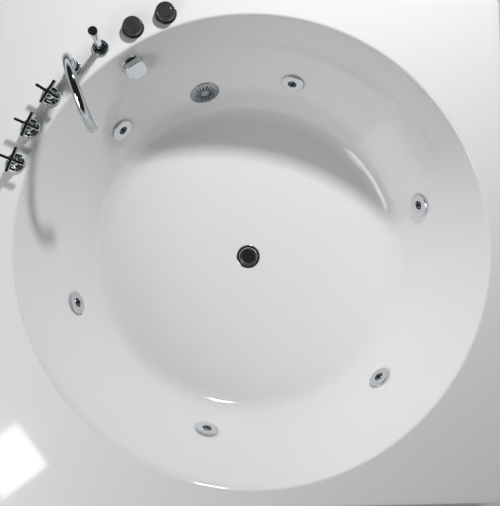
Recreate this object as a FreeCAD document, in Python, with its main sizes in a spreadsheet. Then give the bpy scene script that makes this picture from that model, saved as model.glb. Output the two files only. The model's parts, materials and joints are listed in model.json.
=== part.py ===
import FreeCAD, Part
import Sketcher
import math
import os
import sys

# Square jetted bathtub with a round basin, seen from above in use. The frame: origin on the floor
# under the middle of the deck, +Z up, the two apron (room) sides at +X and -Y, and the taps on the
# back-left corner of the deck. Lengths are in millimetres and angles in degrees.

# ---------------------------------------------------------------------------------------------
# Driving dimensions: name, value, meaning
# ---------------------------------------------------------------------------------------------
SIZES = [
    # moulded tub
    ("deck_side", 1500, "side of the square deck"),
    ("floor_height", 160, "basin floor at the wall above the room's floor"),
    ("deck_corner", 20, "radius of the deck's four corners"),
    ("lip_height", 45, "height of the lip round the deck"),
    ("shell_wall", 7, "thickness of the moulded shell"),
    ("rim_margin", 54, "deck left between the basin's edge and the middle of each side"),
    ("rim_round", 9, "rounding of the basin's top edge"),
    ("basin_depth", 440, "deck top to the basin floor at the wall"),
    ("wall_tilt", 21.8, "lean of the basin wall from upright"),
    ("floor_round", 70, "rounding between wall and floor"),
    ("floor_fall", 6, "fall of the floor from wall to waste"),
    ("spot_height", 25, "reach of the cutters that flatten a fitting's seat"),
    # support
    ("board_radius", 430, "bonded board under the basin floor"),
    ("board_hole", 60, "hole in the board round the waste"),
    ("tube_side", 25, "outside of the square frame tube"),
    ("tube_wall", 2, "wall of the square frame tube"),
    ("frame_inset", 28, "centre of the frame tubes inside the deck's edge"),
    ("rail_base", 105, "underside of the lower rails"),
    ("bearer_spread", 340, "distance between the two bearers under the basin"),
    ("foot_spread", 520, "distance between the feet along a bearer"),
    ("pad_radius", 25, "foot pad"),
    ("pad_height", 12, "foot pad"),
    ("rod_radius", 6, "threaded foot rod"),
    ("locknut_radius", 11, "foot locknut"),
    ("locknut_height", 9, "foot locknut"),
    # aprons
    ("apron_inset", 2, "apron face behind the deck's edge"),
    ("apron_depth", 12, "depth of the apron's returned edges"),
    ("apron_wall", 4, "apron sheet"),
    ("apron_base", 25, "underside of the aprons"),
    ("apron_gap", 0.4, "gap from the apron to the lip and to the other apron"),
    ("screw_radius", 2, "apron screw shank"),
    ("screw_head", 6, "apron screw head radius"),
    ("screw_pitch", 330, "distance between apron screws"),
    # waste
    ("waste_radius", 40.5, "waste flange"),
    ("waste_recess", 2.5, "depth of the seat under the waste flange"),
    ("waste_flange_height", 3, "thickness of the waste flange"),
    ("waste_ring", 30, "bright inner ring of the waste flange"),
    ("waste_bore", 28, "bore of the waste flange"),
    ("waste_thread", 33, "threaded tail of the waste flange"),
    ("waste_tail", 48, "length of the threaded tail"),
    ("plug_radius", 26.5, "waste plug"),
    ("plug_crown", 4.6, "top of the plug above the flange's seat"),
    ("plug_stem", 4, "radius of the plug's stem"),
    ("plug_stem_length", 75, "length of the plug's stem below the seat"),
    ("body_flange", 45, "flange of the waste body"),
    ("body_radius", 38, "upper barrel of the waste body"),
    ("body_neck", 30, "lower barrel of the waste body"),
    ("body_base", 52, "underside of the waste body above the floor"),
    ("hose_height", 76, "axis of the overflow hose under the basin"),
    ("hose_radius", 20, "outside of the overflow hose and waste pipe"),
    ("hose_bore", 16, "inside of the overflow hose and waste pipe"),
    ("hose_bend", 150, "bend of the overflow hose"),
    ("hose_inlet", 80, "reach of the waste body's side inlet"),
    ("trap_radius", 52, "trap bottle"),
    ("trap_base", 8, "underside of the trap above the floor"),
    ("trap_wall", 3, "wall of the trap bottle"),
    ("trap_outlet", 300, "reach of the trap's outlet from the middle"),
    ("trap_spigot", 50, "plain end of the trap's outlet"),
    ("cable_radius", 3.5, "sheath of the pop-up cable"),
    ("cable_offset", 32, "pop-up cable beside the overflow hose"),
    ("cable_boss", 8, "boss that holds a cable end"),
    # overflow
    ("overflow_azimuth", 122.8, "overflow and its turn knob"),
    ("overflow_depth", 68, "overflow below the deck"),
    ("overflow_ring", 36, "back ring of the overflow"),
    ("overflow_ring_height", 5, "back ring of the overflow"),
    ("overflow_thread", 26, "threaded tail of the back ring"),
    ("overflow_tail", 24, "length of the threaded tail"),
    ("overflow_throat", 20, "bore of the back ring"),
    ("knob_radius", 36.5, "overflow knob across its round corners"),
    ("knob_flats", 64, "overflow knob across its flats"),
    ("knob_gap", 6, "gap between the back ring and the knob"),
    ("knob_height", 19, "thickness of the overflow knob"),
    ("knob_shaft", 6, "shaft of the overflow knob"),
    ("overflow_cup", 34, "overflow body behind the wall"),
    ("overflow_cup_depth", 52, "back of the overflow body behind the wall face"),
    ("overflow_hose_depth", 31, "axis of the overflow hose behind the wall face"),
    # jets
    ("jet_first_azimuth", 135.5, "first of the six jets"),
    ("jet_height", 167, "jets above the basin floor"),
    ("jet_hole", 27, "hole in the wall for a jet"),
    ("jet_seat", 40, "flattened seat round a jet"),
    ("jet_flange", 35, "flange of the jet fitting"),
    ("jet_flange_height", 3, "flange of the jet fitting"),
    ("jet_barrel", 26.5, "barrel of the jet fitting"),
    ("jet_barrel_length", 30, "barrel of the jet fitting behind the wall face"),
    ("jet_bore", 20, "bore of the jet fitting"),
    ("trim_radius", 38, "jet trim disc"),
    ("trim_height", 4.7, "jet trim disc"),
    ("trim_opening", 14.5, "opening in the trim round the nozzle"),
    ("trim_skirt", 12, "depth of the trim's skirt behind the wall face"),
    ("ball_radius", 15.5, "nozzle ball"),
    ("ball_depth", 3, "centre of the nozzle ball behind the wall face"),
    ("nozzle_bore", 5.5, "outlet of the nozzle"),
    ("nozzle_flat", 12.5, "nozzle front above the ball's centre"),
    ("nozzle_inlet", 10, "inlet of the nozzle"),
    ("housing_radius", 33, "jet housing behind the wall"),
    ("housing_depth", 92, "back of the jet housing behind the wall face"),
    ("line_depth", 68, "water and air lines behind the wall face"),
    ("water_radius", 16, "outside of the water line"),
    ("water_bore", 12, "inside of the water line"),
    ("water_spigot", 50, "reach of a housing's water spigot"),
    ("air_radius", 8, "outside of the air line"),
    ("air_bore", 5.5, "inside of the air line"),
    ("air_spigot", 52, "reach of a housing's air spigot"),
    # suction
    ("suction_azimuth", 105, "suction fitting"),
    ("suction_height", 118, "suction fitting above the basin floor"),
    ("grille_radius", 51, "suction grille"),
    ("grille_edge", 2, "height of the grille's outer edge"),
    ("grille_crown", 5, "height of the grille's middle"),
    ("grille_hub", 12, "solid middle of the grille"),
    ("grille_field", 38, "outer end of the slots"),
    ("slot_count", 16, "curved slots in the grille"),
    ("slot_width", 4.4, "curved slots in the grille"),
    ("slot_curve", 30, "radius of a slot's curve"),
    ("suction_thread", 32, "tail of the grille"),
    ("suction_tail", 28, "length of the grille's tail"),
    ("suction_throat", 27, "bore of the grille's tail"),
    ("sump_radius", 38, "suction housing behind the wall"),
    ("sump_depth", 62, "back of the suction housing behind the wall face"),
    ("sump_axis_depth", 43, "axis of the suction outlet behind the wall face"),
    ("sump_drop", 70, "length of the suction outlet"),
    ("suction_radius", 22, "outside of the suction pipe"),
    ("suction_bore", 18, "inside of the suction pipe"),
    ("suction_bend", 55, "bend of the suction pipe"),
    # pump
    ("pump_margin", 318, "joint face of motor and pump housing inside the deck's edge"),
    ("pump_axis_height", 115, "pump shaft above the floor"),
    ("motor_length", 170, "motor casing"),
    ("motor_radius", 58, "motor casing"),
    ("motor_wall", 8, "wall of the motor casing"),
    ("fin_height", 6, "cooling fins on the motor"),
    ("fin_width", 3, "cooling fins on the motor"),
    ("fin_count", 20, "cooling fins on the motor"),
    ("fin_margin", 25, "plain ends of the motor casing"),
    ("stator_bore", 34, "bore of the stator"),
    ("stator_margin", 40, "stator inside the motor's ends"),
    ("shaft_radius", 7, "pump shaft"),
    ("rotor_gap", 0.5, "air gap between rotor and stator"),
    ("impeller_radius", 44, "impeller"),
    ("impeller_height", 18, "impeller with its vanes"),
    ("fan_radius", 48, "motor fan"),
    ("fan_height", 12, "motor fan"),
    ("blade_count", 6, "vanes of the impeller and blades of the fan"),
    ("blade_width", 3, "vanes of the impeller and blades of the fan"),
    ("volute_radius", 66, "pump housing"),
    ("volute_length", 55, "pump housing"),
    ("volute_wall", 8, "wall of the pump housing"),
    ("chamber_radius", 50, "impeller chamber"),
    ("inlet_length", 27, "neck of the pump's inlet"),
    ("inlet_radius", 25, "neck of the pump's inlet"),
    ("outlet_offset", 45, "discharge beside the shaft"),
    ("outlet_radius", 17, "discharge pipe"),
    ("outlet_bore", 13, "discharge pipe"),
    ("outlet_rise", 110, "top of the pump's own discharge above the shaft"),
    ("outlet_bend", 40, "bend of the discharge pipe"),
    ("union_wall", 8, "wall of a union nut"),
    ("union_length", 25, "length of a union nut"),
    ("cover_wall", 3, "fan cover"),
    ("cover_length", 45, "fan cover"),
    ("cover_overlap", 10, "fan cover over the motor casing"),
    ("cover_vent", 15, "middle vent of the fan cover"),
    ("mount_pad_radius", 14, "rubber pad under the pump"),
    ("mount_pad_height", 12, "rubber pad under the pump"),
    ("mount_plate", 5, "pump base plate"),
    ("mount_width", 130, "pump base plate"),
    ("mount_length", 180, "pump base plate"),
    ("saddle_width", 90, "saddle under the motor"),
    ("saddle_thickness", 14, "saddle under the motor"),
    # deck fittings
    ("fitting_margin", 45, "middle of the deck fittings outside the basin's edge"),
    ("spout_azimuth", 134.8, "spout"),
    ("tap_azimuth", 143, "first tap"),
    ("tap_pitch", 8.6, "angle between the taps"),
    ("tap_drift", 2.5, "each next tap stands this much nearer the basin"),
    ("shower_azimuth", 127.2, "hand shower"),
    ("button_azimuth", 118.4, "pump button"),
    ("air_azimuth", 110.2, "air regulator"),
    ("nut_height", 9, "backing nut"),
    ("nut_wall", 10, "backing nut"),
    ("bonnet_radius", 28.5, "tap bonnet at the deck"),
    ("bonnet_height", 42, "tap bonnet"),
    ("bonnet_step", 10, "height of the bonnet's wide foot"),
    ("bonnet_shoulder", 17, "tap bonnet above its foot"),
    ("bonnet_neck", 13, "tap bonnet at its top"),
    ("stem_radius", 5, "tap stem"),
    ("stem_length", 55, "tap stem below the deck"),
    ("cross_span", 77, "cross handle, tip to tip"),
    ("cross_bar", 9, "bar of the cross handle"),
    ("cross_top", 59, "top of the cross above the deck"),
    ("hub_radius", 6.3, "hub of the cross handle"),
    ("valve_radius", 16, "tap body below the deck"),
    ("valve_length", 100, "tap body below the deck"),
    ("valve_hole", 17, "deck hole for taps and spout"),
    ("inlet_thread", 10.5, "threaded water inlet"),
    ("inlet_tail", 30, "length of a threaded water inlet"),
    ("link_radius", 8, "pipe that links the tap bodies"),
    ("link_depth", 80, "linking pipe below the deck"),
    ("spout_radius", 13.5, "spout tube"),
    ("spout_bore", 11, "spout tube"),
    ("spout_reach", 206, "spout base to outlet"),
    ("spout_rise", 98, "straight rise of the spout above the deck"),
    ("spout_tip", 84, "outlet of the spout above the deck"),
    ("spout_heading", -71.6, "direction in which the spout points"),
    ("spout_collar", 18, "collar at the foot of the spout"),
    ("spout_collar_height", 18, "collar at the foot of the spout"),
    ("spout_flange", 22, "flange under the spout"),
    ("spout_flange_height", 12, "flange under the spout"),
    ("spout_pivot", 10.4, "turned foot of the spout"),
    ("spout_pivot_length", 22, "turned foot of the spout"),
    ("spout_shank", 15, "threaded shank under the spout"),
    ("shower_flange", 25, "collar round the hand shower"),
    ("shower_flange_height", 8, "collar round the hand shower"),
    ("sleeve_radius", 19, "guide sleeve below the deck"),
    ("sleeve_wall", 2, "guide sleeve below the deck"),
    ("sleeve_length", 300, "guide sleeve below the deck"),
    ("shower_hole", 20, "deck hole for the guide sleeve"),
    ("wand_radius", 10, "stem of the hand shower"),
    ("wand_head", 14.4, "head of the hand shower"),
    ("wand_head_height", 12, "head of the hand shower"),
    ("wand_top", 145, "top of the hand shower above the deck"),
    ("wand_foot", 150, "stem of the hand shower below the deck"),
    ("ferrule_radius", 11, "hose ferrule of the hand shower"),
    ("ferrule_length", 20, "hose ferrule of the hand shower"),
    ("shower_hose_radius", 7, "shower hose"),
    ("control_hole", 25, "deck hole for button and regulator"),
    ("control_flange", 33, "flange of button and regulator"),
    ("control_flange_height", 4, "flange of button and regulator"),
    ("control_barrel", 24, "barrel of button and regulator below the deck"),
    ("control_length", 60, "barrel of button and regulator below the deck"),
    ("control_bore", 18, "bore of button and regulator"),
    ("control_cap", 28.5, "visible cap of button and regulator"),
    ("control_height", 25, "top of button and regulator above the deck"),
    ("button_radius", 23.1, "moving cap of the button"),
    ("button_proud", 2.5, "button above its ring"),
    ("button_stem", 8, "stem of the button"),
    ("piston_radius", 17.7, "piston under the button"),
    ("signal_radius", 2.5, "button's air tube"),
    ("control_spigot", 4, "tube spigot under the button"),
    ("box_length", 180, "pump control box"),
    ("box_depth", 60, "pump control box"),
    ("box_height", 130, "pump control box"),
    ("box_base", 150, "underside of the control box above the floor"),
    ("box_wall", 3, "wall of the control box"),
    # clearances and small edges
    ("gasket", 3, "thickness of a gasket"),
    ("seat_gap", 0.3, "gap between pieces that turn or slide on each other"),
    ("running_gap", 0.1, "radial gap of a shaft in its bearing"),
    ("edge_break", 1.5, "bevel on turned and moulded edges"),
]

# sizes that follow from the ones above: name, sheet formula, meaning
DERIVED = [
    ("deck_height", "floor_height + basin_depth", "top of the deck above the floor"),
    ("rim_radius", "deck_side / 2 - rim_margin", "basin radius at the deck, before its edge is rounded"),
    ("jet_depth", "basin_depth - jet_height", "jets below the deck"),
    ("suction_depth", "basin_depth - suction_height", "suction fitting below the deck"),
    ("pump_face_x", "pump_margin - deck_side / 2", "joint face of motor and pump housing"),
    ("fitting_circle", "rim_radius + fitting_margin", "arc that the deck fittings stand on"),
]

doc = FreeCAD.newDocument("JettedBathtub")
sheet = doc.addObject("Spreadsheet::Sheet", "Sizes")
rows = SIZES + [(alias, "=" + formula, meaning) for alias, formula, meaning in DERIVED]
for row, (alias, content, meaning) in enumerate(rows, start=1):
    sheet.set(f"A{row}", meaning)
    sheet.set(f"B{row}", str(content))
    sheet.setAlias(f"B{row}", alias)
doc.recompute()


# ---------------------------------------------------------------------------------------------
# Sizes that carry their sheet formula
# ---------------------------------------------------------------------------------------------
class Size:
    """A number together with the sheet formula that gives it."""

    def __init__(self, value, formula):
        self.value = value
        self.formula = formula

    def __add__(self, other):
        other = sized(other)
        return Size(self.value + other.value, f"({self.formula} + {other.formula})")

    def __sub__(self, other):
        other = sized(other)
        return Size(self.value - other.value, f"({self.formula} - {other.formula})")

    def __mul__(self, other):
        other = sized(other)
        return Size(self.value * other.value, f"({self.formula} * {other.formula})")

    def __truediv__(self, other):
        other = sized(other)
        return Size(self.value / other.value, f"({self.formula} / {other.formula})")

    def __radd__(self, other):
        return sized(other) + self

    def __rsub__(self, other):
        return sized(other) - self

    def __rmul__(self, other):
        return sized(other) * self

    def __rtruediv__(self, other):
        return sized(other) / self

    def __neg__(self):
        return Size(-self.value, f"(0 - {self.formula})")


def sized(number):
    """Turn a plain number into a Size; leave a Size as it is."""
    if isinstance(number, Size):
        return number
    return Size(float(number), f"({float(number)})")


def cos(angle):
    angle = sized(angle)
    return Size(math.cos(math.radians(angle.value)), f"cos({angle.formula})")


def sin(angle):
    angle = sized(angle)
    return Size(math.sin(math.radians(angle.value)), f"sin({angle.formula})")


def tan(angle):
    angle = sized(angle)
    return Size(math.tan(math.radians(angle.value)), f"tan({angle.formula})")


def angle_of_chord(offset, radius):
    """Angle at which a point lies that far beside the radius, in degrees."""
    ratio = sized(offset) / radius
    return Size(math.degrees(math.asin(ratio.value)), f"(asin({ratio.formula}) / 1 deg)")


class Dimensions:
    """The driving dimensions by name, each a Size bound to its cell."""


dim = Dimensions()
for alias, content, meaning in rows:
    setattr(dim, alias, Size(float(sheet.get(alias)), f"Sizes.{alias}"))


class Place:
    """A point with a turn about Z (yaw) and then a tip about the turned Y (pitch)."""

    def __init__(self, x=0, y=0, z=0, yaw=0, pitch=0):
        self.x = sized(x)
        self.y = sized(y)
        self.z = sized(z)
        self.yaw = sized(yaw)
        self.pitch = sized(pitch)

    def formula(self):
        point = f"vector({self.x.formula}; {self.y.formula}; {self.z.formula})"
        return f"placement({point}; rotation({self.yaw.formula}; {self.pitch.formula}; 0))"

    def shifted(self, along_x=0, along_y=0, along_z=0):
        """The same turn, moved along the place's own axes."""
        x = self.x + along_x * (cos(self.pitch) * cos(self.yaw)) - along_y * sin(self.yaw)
        y = self.y + along_x * (cos(self.pitch) * sin(self.yaw)) + along_y * cos(self.yaw)
        x = x + along_z * (sin(self.pitch) * cos(self.yaw))
        y = y + along_z * (sin(self.pitch) * sin(self.yaw))
        z = self.z - along_x * sin(self.pitch) + along_z * cos(self.pitch)
        return Place(x, y, z, self.yaw, self.pitch)

    def point(self):
        return FreeCAD.Vector(self.x.value, self.y.value, self.z.value)


HERE = Place()


# ---------------------------------------------------------------------------------------------
# Building blocks
# ---------------------------------------------------------------------------------------------
nodes = []


def keep(node):
    """Count a finished sub-part: its Label names its file."""
    nodes.append(node)
    return node


def placed(thing, place):
    """Bind a piece's placement to the sheet."""
    if place is not HERE:
        thing.setExpression("Placement", place.formula())
    return thing


def bind(thing, **sizes):
    """Bind properties of a feature to the sheet."""
    for name, value in sizes.items():
        thing.setExpression(name, sized(value).formula)
    return thing


def outline_sketch(body, role, points, height=0):
    """A closed outline of straight lines whose corners are all driven by the sheet."""
    sketch = body.newObject("Sketcher::SketchObject", body.Name + "_outline")
    plane = [feature for feature in body.Origin.OriginFeatures if feature.Role == role][0]
    sketch.AttachmentSupport = [(plane, "")]
    sketch.MapMode = "FlatFace"
    bind(sketch, **{"AttachmentOffset.Base.z": height})
    corners = [(sized(across), sized(up)) for across, up in points]
    count = len(corners)
    for index in range(count):
        start = corners[index]
        end = corners[(index + 1) % count]
        first = FreeCAD.Vector(start[0].value, start[1].value, 0)
        last = FreeCAD.Vector(end[0].value, end[1].value, 0)
        sketch.addGeometry(Part.LineSegment(first, last), False)
    for index in range(count):
        following = (index + 1) % count
        sketch.addConstraint(Sketcher.Constraint("Coincident", index, 2, following, 1))
    for index, corner in enumerate(corners):
        for kind, size in zip(("DistanceX", "DistanceY"), corner):
            number = sketch.addConstraint(Sketcher.Constraint(kind, index, 1, size.value))
            sketch.setExpression(f"Constraints[{number}]", size.formula)
    return sketch


def turned(label, outline, place=HERE):
    """A body turned about its own Z axis from an outline of (radius, height) corners."""
    body = doc.addObject("PartDesign::Body", label)
    body.Label = label
    sketch = outline_sketch(body, "XZ_Plane", outline)
    turn = body.newObject("PartDesign::Revolution", label + "_turn")
    turn.Profile = sketch
    turn.ReferenceAxis = (sketch, ["V_Axis"])
    turn.Angle = 360
    sketch.Visibility = False
    return placed(body, place)


def rounded(body, radius, chosen):
    """Round the edges of a body that the test picks by their geometry."""
    doc.recompute()
    base = body.Tip
    names = [f"Edge{number}" for number, edge in enumerate(base.Shape.Edges, start=1) if chosen(edge)]
    if not names:
        sys.exit(f"{body.Label}: no edge to round")
    fillet = body.newObject("PartDesign::Fillet", body.Name + "_round")
    fillet.Base = (base, names)
    bind(fillet, Radius=radius)
    return fillet


def cylinder(label, radius, height, place=HERE, sweep=360):
    rod = doc.addObject("Part::Cylinder", label)
    rod.Label = label
    bind(rod, Radius=radius, Height=height, Angle=sweep)
    return placed(rod, place)


def box(label, length, width, height, place=HERE):
    """A block that stands on its place's origin, middled along X and Y."""
    block = doc.addObject("Part::Box", label)
    block.Label = label
    bind(block, Length=length, Width=width, Height=height)
    return placed(block, place.shifted(-sized(length) / 2, -sized(width) / 2, 0))


def ring_pipe(label, ring_radius, radius, height, start=0, sweep=360):
    """A round bar bent into an arc about the Z axis, starting at an azimuth."""
    torus = doc.addObject("Part::Torus", label)
    torus.Label = label
    bind(torus, Radius1=ring_radius, Radius2=radius, Angle3=sweep)
    return placed(torus, Place(z=height, yaw=start))


def fuse(label, pieces, place=HERE):
    joined = doc.addObject("Part::MultiFuse", label)
    joined.Label = label
    joined.Shapes = pieces
    return placed(joined, place)


def cut(label, base, tools, place=HERE):
    """The base less every tool."""
    tool = tools[0] if len(tools) == 1 else fuse(label + "_cutter", tools)
    result = doc.addObject("Part::Cut", label)
    result.Label = label
    result.Base = base
    result.Tool = tool
    return placed(result, place)


def group(label, pieces):
    """Separate solids that share one node."""
    compound = doc.addObject("Part::Compound", label)
    compound.Label = label
    compound.Links = pieces
    return compound


def shaped(label, shape):
    """A piece whose shape is worked out below from the sheet's sizes."""
    feature = doc.addObject("Part::Feature", label)
    feature.Label = label
    feature.Shape = shape
    return feature


def pipe_path(points, bends):
    """Straight runs joined by tangent arcs; one bend radius for each inner point."""
    edges = []
    start = points[0]
    for before, corner, after, bend in zip(points, points[1:], points[2:], bends):
        incoming = (corner - before).normalize()
        outgoing = (after - corner).normalize()
        turn = incoming.getAngle(outgoing)
        reach = bend * math.tan(turn / 2)
        arc_start = corner - incoming * reach
        arc_end = corner + outgoing * reach
        inward = (outgoing - incoming).normalize()
        middle = corner + inward * (bend / math.cos(turn / 2) - bend)
        edges.append(Part.LineSegment(start, arc_start).toShape())
        edges.append(Part.Arc(arc_start, middle, arc_end).toShape())
        start = arc_end
    edges.append(Part.LineSegment(start, points[-1]).toShape())
    return Part.Wire(edges)


def natural_bends(points):
    """The largest bend that each inner point's two runs leave room for."""
    bends = []
    for before, corner, after in zip(points, points[1:], points[2:]):
        turn = (corner - before).getAngle(after - corner)
        run = min((corner - before).Length, (after - corner).Length)
        bends.append(0.45 * run / math.tan(turn / 2))
    return bends


def pipe(label, points, bends, radius, bore=0):
    """A round pipe along a path; the volume is compared with section times length."""
    path = pipe_path(points, bends)
    normal = points[1] - points[0]

    def swept(size):
        section = Part.Wire([Part.makeCircle(size, points[0], normal)])
        return path.makePipeShell([section], True, False)

    solid = swept(radius)
    area = math.pi * radius**2
    if bore:
        solid = solid.cut(swept(bore))
        area = area - math.pi * bore**2
    expected = area * path.Length
    print(f"{label}: length {path.Length:.0f}, bends {[round(bend) for bend in bends]},"
          f" volume ratio {solid.Volume / expected:.4f}")
    return shaped(label, solid)


# ---------------------------------------------------------------------------------------------
# Places that several pieces share
# ---------------------------------------------------------------------------------------------
wall_slope = tan(dim.wall_tilt)
wall_across = dim.shell_wall / cos(dim.wall_tilt)
floor_edge = dim.deck_height - dim.basin_depth
floor_middle = floor_edge - dim.floor_fall
floor_radius = dim.rim_radius - dim.basin_depth * wall_slope
outer_floor_radius = floor_radius - dim.shell_wall * wall_slope + wall_across
waste_seat = floor_middle - dim.waste_recess
waste_underside = -(dim.shell_wall - dim.waste_recess)
deck_underside = dim.deck_height - dim.shell_wall
frame_half = dim.deck_side / 2 - dim.frame_inset
rail_top = dim.rail_base + dim.tube_side


def wall_place(azimuth, depth):
    """A place on the basin wall: +Z into the basin, square to the wall, and +X up the slope."""
    radius = dim.rim_radius - depth * wall_slope
    return Place(radius * cos(azimuth), radius * sin(azimuth), dim.deck_height - depth,
                 azimuth, dim.wall_tilt - 90)


def deck_place(azimuth, yaw=0, inward=0):
    """A place on the deck, on the arc of the fittings or inside it."""
    radius = dim.fitting_circle - inward
    return Place(radius * cos(azimuth), radius * sin(azimuth), dim.deck_height, yaw)


def behind_basin(across, along, up):
    """A point under the deck: shares of the frame's half width, and of the deck's height."""
    half = frame_half.value
    return FreeCAD.Vector(across * half, along * half, up * dim.deck_height.value)


overflow_place = wall_place(dim.overflow_azimuth, dim.overflow_depth)
suction_place = wall_place(dim.suction_azimuth, dim.suction_depth)
jet_azimuths = [dim.jet_first_azimuth + 60 * index for index in range(6)]
jet_places = [wall_place(azimuth, dim.jet_depth) for azimuth in jet_azimuths]
waste_place = Place(z=waste_seat, yaw=dim.overflow_azimuth)
spout_place = deck_place(dim.spout_azimuth, dim.spout_heading)
shower_place = deck_place(dim.shower_azimuth)
button_place = deck_place(dim.button_azimuth)
air_place = deck_place(dim.air_azimuth)
TAPS = ["hot_handle", "diverter_handle", "cold_handle"]
CROSS_TURNS = [-32, -24, -22]
tap_azimuths = [dim.tap_azimuth + dim.tap_pitch * count for count in range(3)]
tap_places = [deck_place(azimuth, 0, dim.tap_drift * count)
              for count, azimuth in enumerate(tap_azimuths, start=1)]

# the water line runs square behind each jet, and the air line lies above it
line_place = jet_places[0].shifted(0, 0, -dim.line_depth)
jet_circle = dim.rim_radius - dim.jet_depth * wall_slope
water_circle = jet_circle + dim.line_depth * cos(dim.wall_tilt)
water_height = line_place.z
water_bend = angle_of_chord(dim.water_spigot, water_circle)
water_ring = water_circle / cos(water_bend)
air_reach = dim.air_spigot + dim.air_radius + dim.seat_gap
air_circle = water_circle + air_reach * sin(dim.wall_tilt)
air_height = water_height + air_reach * cos(dim.wall_tilt)

# the pump lies along X behind the taps, in line with the suction outlet
sump_place = suction_place.shifted(0, 0, -dim.sump_axis_depth)
pump_place = Place(dim.pump_face_x, sump_place.y, dim.pump_axis_height, 0, 90)


# ---------------------------------------------------------------------------------------------
# Tub
# ---------------------------------------------------------------------------------------------
def basin_radius(height):
    return dim.rim_radius - (dim.deck_height - height) * wall_slope


def deck_rectangle(side):
    half = side / 2
    return [(-half, -half), (half, -half), (half, half), (-half, half)]


def is_upright(edge, reach):
    """An upright straight edge that stands at that distance along both X and Y."""
    start = edge.Vertexes[0].Point
    end = edge.Vertexes[-1].Point
    upright = abs(start.x - end.x) + abs(start.y - end.y) < 0.01
    return upright and abs(abs(start.x) - reach) < 0.01 and abs(abs(start.y) - reach) < 0.01


def is_circle(edge, radius, height):
    """A full circle about the Z axis with that radius and height."""
    curve = edge.Curve
    if not isinstance(curve, Part.Circle):
        return False
    return abs(curve.Radius - radius) < 0.01 and abs(curve.Center.z - height) < 0.01


def shell_moulding():
    """Deck pan and basin as one moulding, before its fittings are drilled."""
    body = doc.addObject("PartDesign::Body", "shell_moulding")
    body.Label = "shell_moulding"
    lip_base = dim.deck_height - dim.lip_height
    deck = body.newObject("PartDesign::Pad", "deck_block")
    deck.Profile = outline_sketch(body, "XY_Plane", deck_rectangle(dim.deck_side), lip_base)
    bind(deck, Length=dim.lip_height)
    half = dim.deck_side.value / 2
    rounded(body, dim.deck_corner, lambda edge: is_upright(edge, half))

    hollow = body.newObject("PartDesign::Pocket", "deck_underside")
    inner_side = dim.deck_side - 2 * dim.shell_wall
    hollow.Profile = outline_sketch(body, "XY_Plane", deck_rectangle(inner_side), lip_base)
    hollow.Reversed = True
    bind(hollow, Length=dim.lip_height - dim.shell_wall)
    inner_half = inner_side.value / 2
    rounded(body, dim.deck_corner - dim.shell_wall, lambda edge: is_upright(edge, inner_half))

    outer_floor = floor_edge - dim.shell_wall
    basin = body.newObject("PartDesign::Revolution", "basin_outside")
    basin.Profile = outline_sketch(body, "XZ_Plane", [
        (0, floor_middle - dim.shell_wall),
        (outer_floor_radius, outer_floor),
        (dim.rim_radius + wall_across, dim.deck_height),
        (0, dim.deck_height)])
    basin.ReferenceAxis = (basin.Profile[0], ["V_Axis"])
    basin.Angle = 360

    inside = body.newObject("PartDesign::Groove", "basin_inside")
    inside.Profile = outline_sketch(body, "XZ_Plane", [
        (0, floor_middle),
        (floor_radius, floor_edge),
        (dim.rim_radius, dim.deck_height),
        (0, dim.deck_height)])
    inside.ReferenceAxis = (inside.Profile[0], ["V_Axis"])
    inside.Angle = 360
    rounded(body, dim.floor_round,
            lambda edge: is_circle(edge, floor_radius.value, floor_edge.value))
    rounded(body, dim.floor_round + dim.shell_wall,
            lambda edge: is_circle(edge, outer_floor_radius.value, outer_floor.value))
    rounded(body, dim.rim_round,
            lambda edge: is_circle(edge, dim.rim_radius.value, dim.deck_height.value))
    return body


def wall_cutter(label, hole, seat, place):
    """Hole through the wall with a flat seat round it on the inside."""
    through = cylinder(label + "_hole", hole, 2 * dim.spot_height, Place(z=-dim.spot_height))
    spot = cylinder(label + "_spot", seat, dim.spot_height)
    return fuse(label + "_opening", [through, spot], place)


def deck_cutter(label, hole, place):
    return cylinder(label + "_hole", hole, 2 * dim.spot_height, place.shifted(0, 0, -dim.spot_height))


def make_tub_shell():
    margin = dim.edge_break
    cutters = [
        wall_cutter("overflow", dim.jet_hole, dim.overflow_ring + margin, overflow_place),
        wall_cutter("suction", dim.suction_thread + 1, dim.grille_radius + margin, suction_place),
        wall_cutter("waste", dim.waste_thread + 1, dim.waste_radius + 1, waste_place),
        deck_cutter("spout", dim.valve_hole, spout_place),
        deck_cutter("shower", dim.shower_hole, shower_place),
        deck_cutter("button", dim.control_hole, button_place),
        deck_cutter("air", dim.control_hole, air_place),
    ]
    for index, place in enumerate(jet_places, start=1):
        cutters.append(wall_cutter(f"jet_{index}", dim.jet_hole, dim.jet_seat, place))
    for name, place in zip(TAPS, tap_places):
        cutters.append(deck_cutter(name, dim.valve_hole, place))
    keep(cut("tub_shell", shell_moulding(), cutters))


def make_floor_board():
    """Board bonded under the basin floor; its top follows the floor's fall."""
    def under_floor(radius):
        return floor_middle - dim.shell_wall + dim.floor_fall * radius / outer_floor_radius
    keep(turned("floor_board", [
        (dim.board_hole, rail_top),
        (dim.board_radius, rail_top),
        (dim.board_radius, under_floor(dim.board_radius)),
        (dim.board_hole, under_floor(dim.board_hole))]))


# ---------------------------------------------------------------------------------------------
# Frame, feet and aprons
# ---------------------------------------------------------------------------------------------
def tube(label, length, place):
    """A square tube that starts at its place and runs along the place's Z axis."""
    outside = box(label + "_outside", dim.tube_side, dim.tube_side, length, place)
    bore = dim.tube_side - 2 * dim.tube_wall
    inside = box(label + "_inside", bore, bore, length, place)
    return cut(label, outside, [inside])


def along_x(x, y, z):
    return Place(x, y, z, 0, 90)


def along_y(x, y, z):
    return Place(x, y, z, 90, 90)


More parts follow.
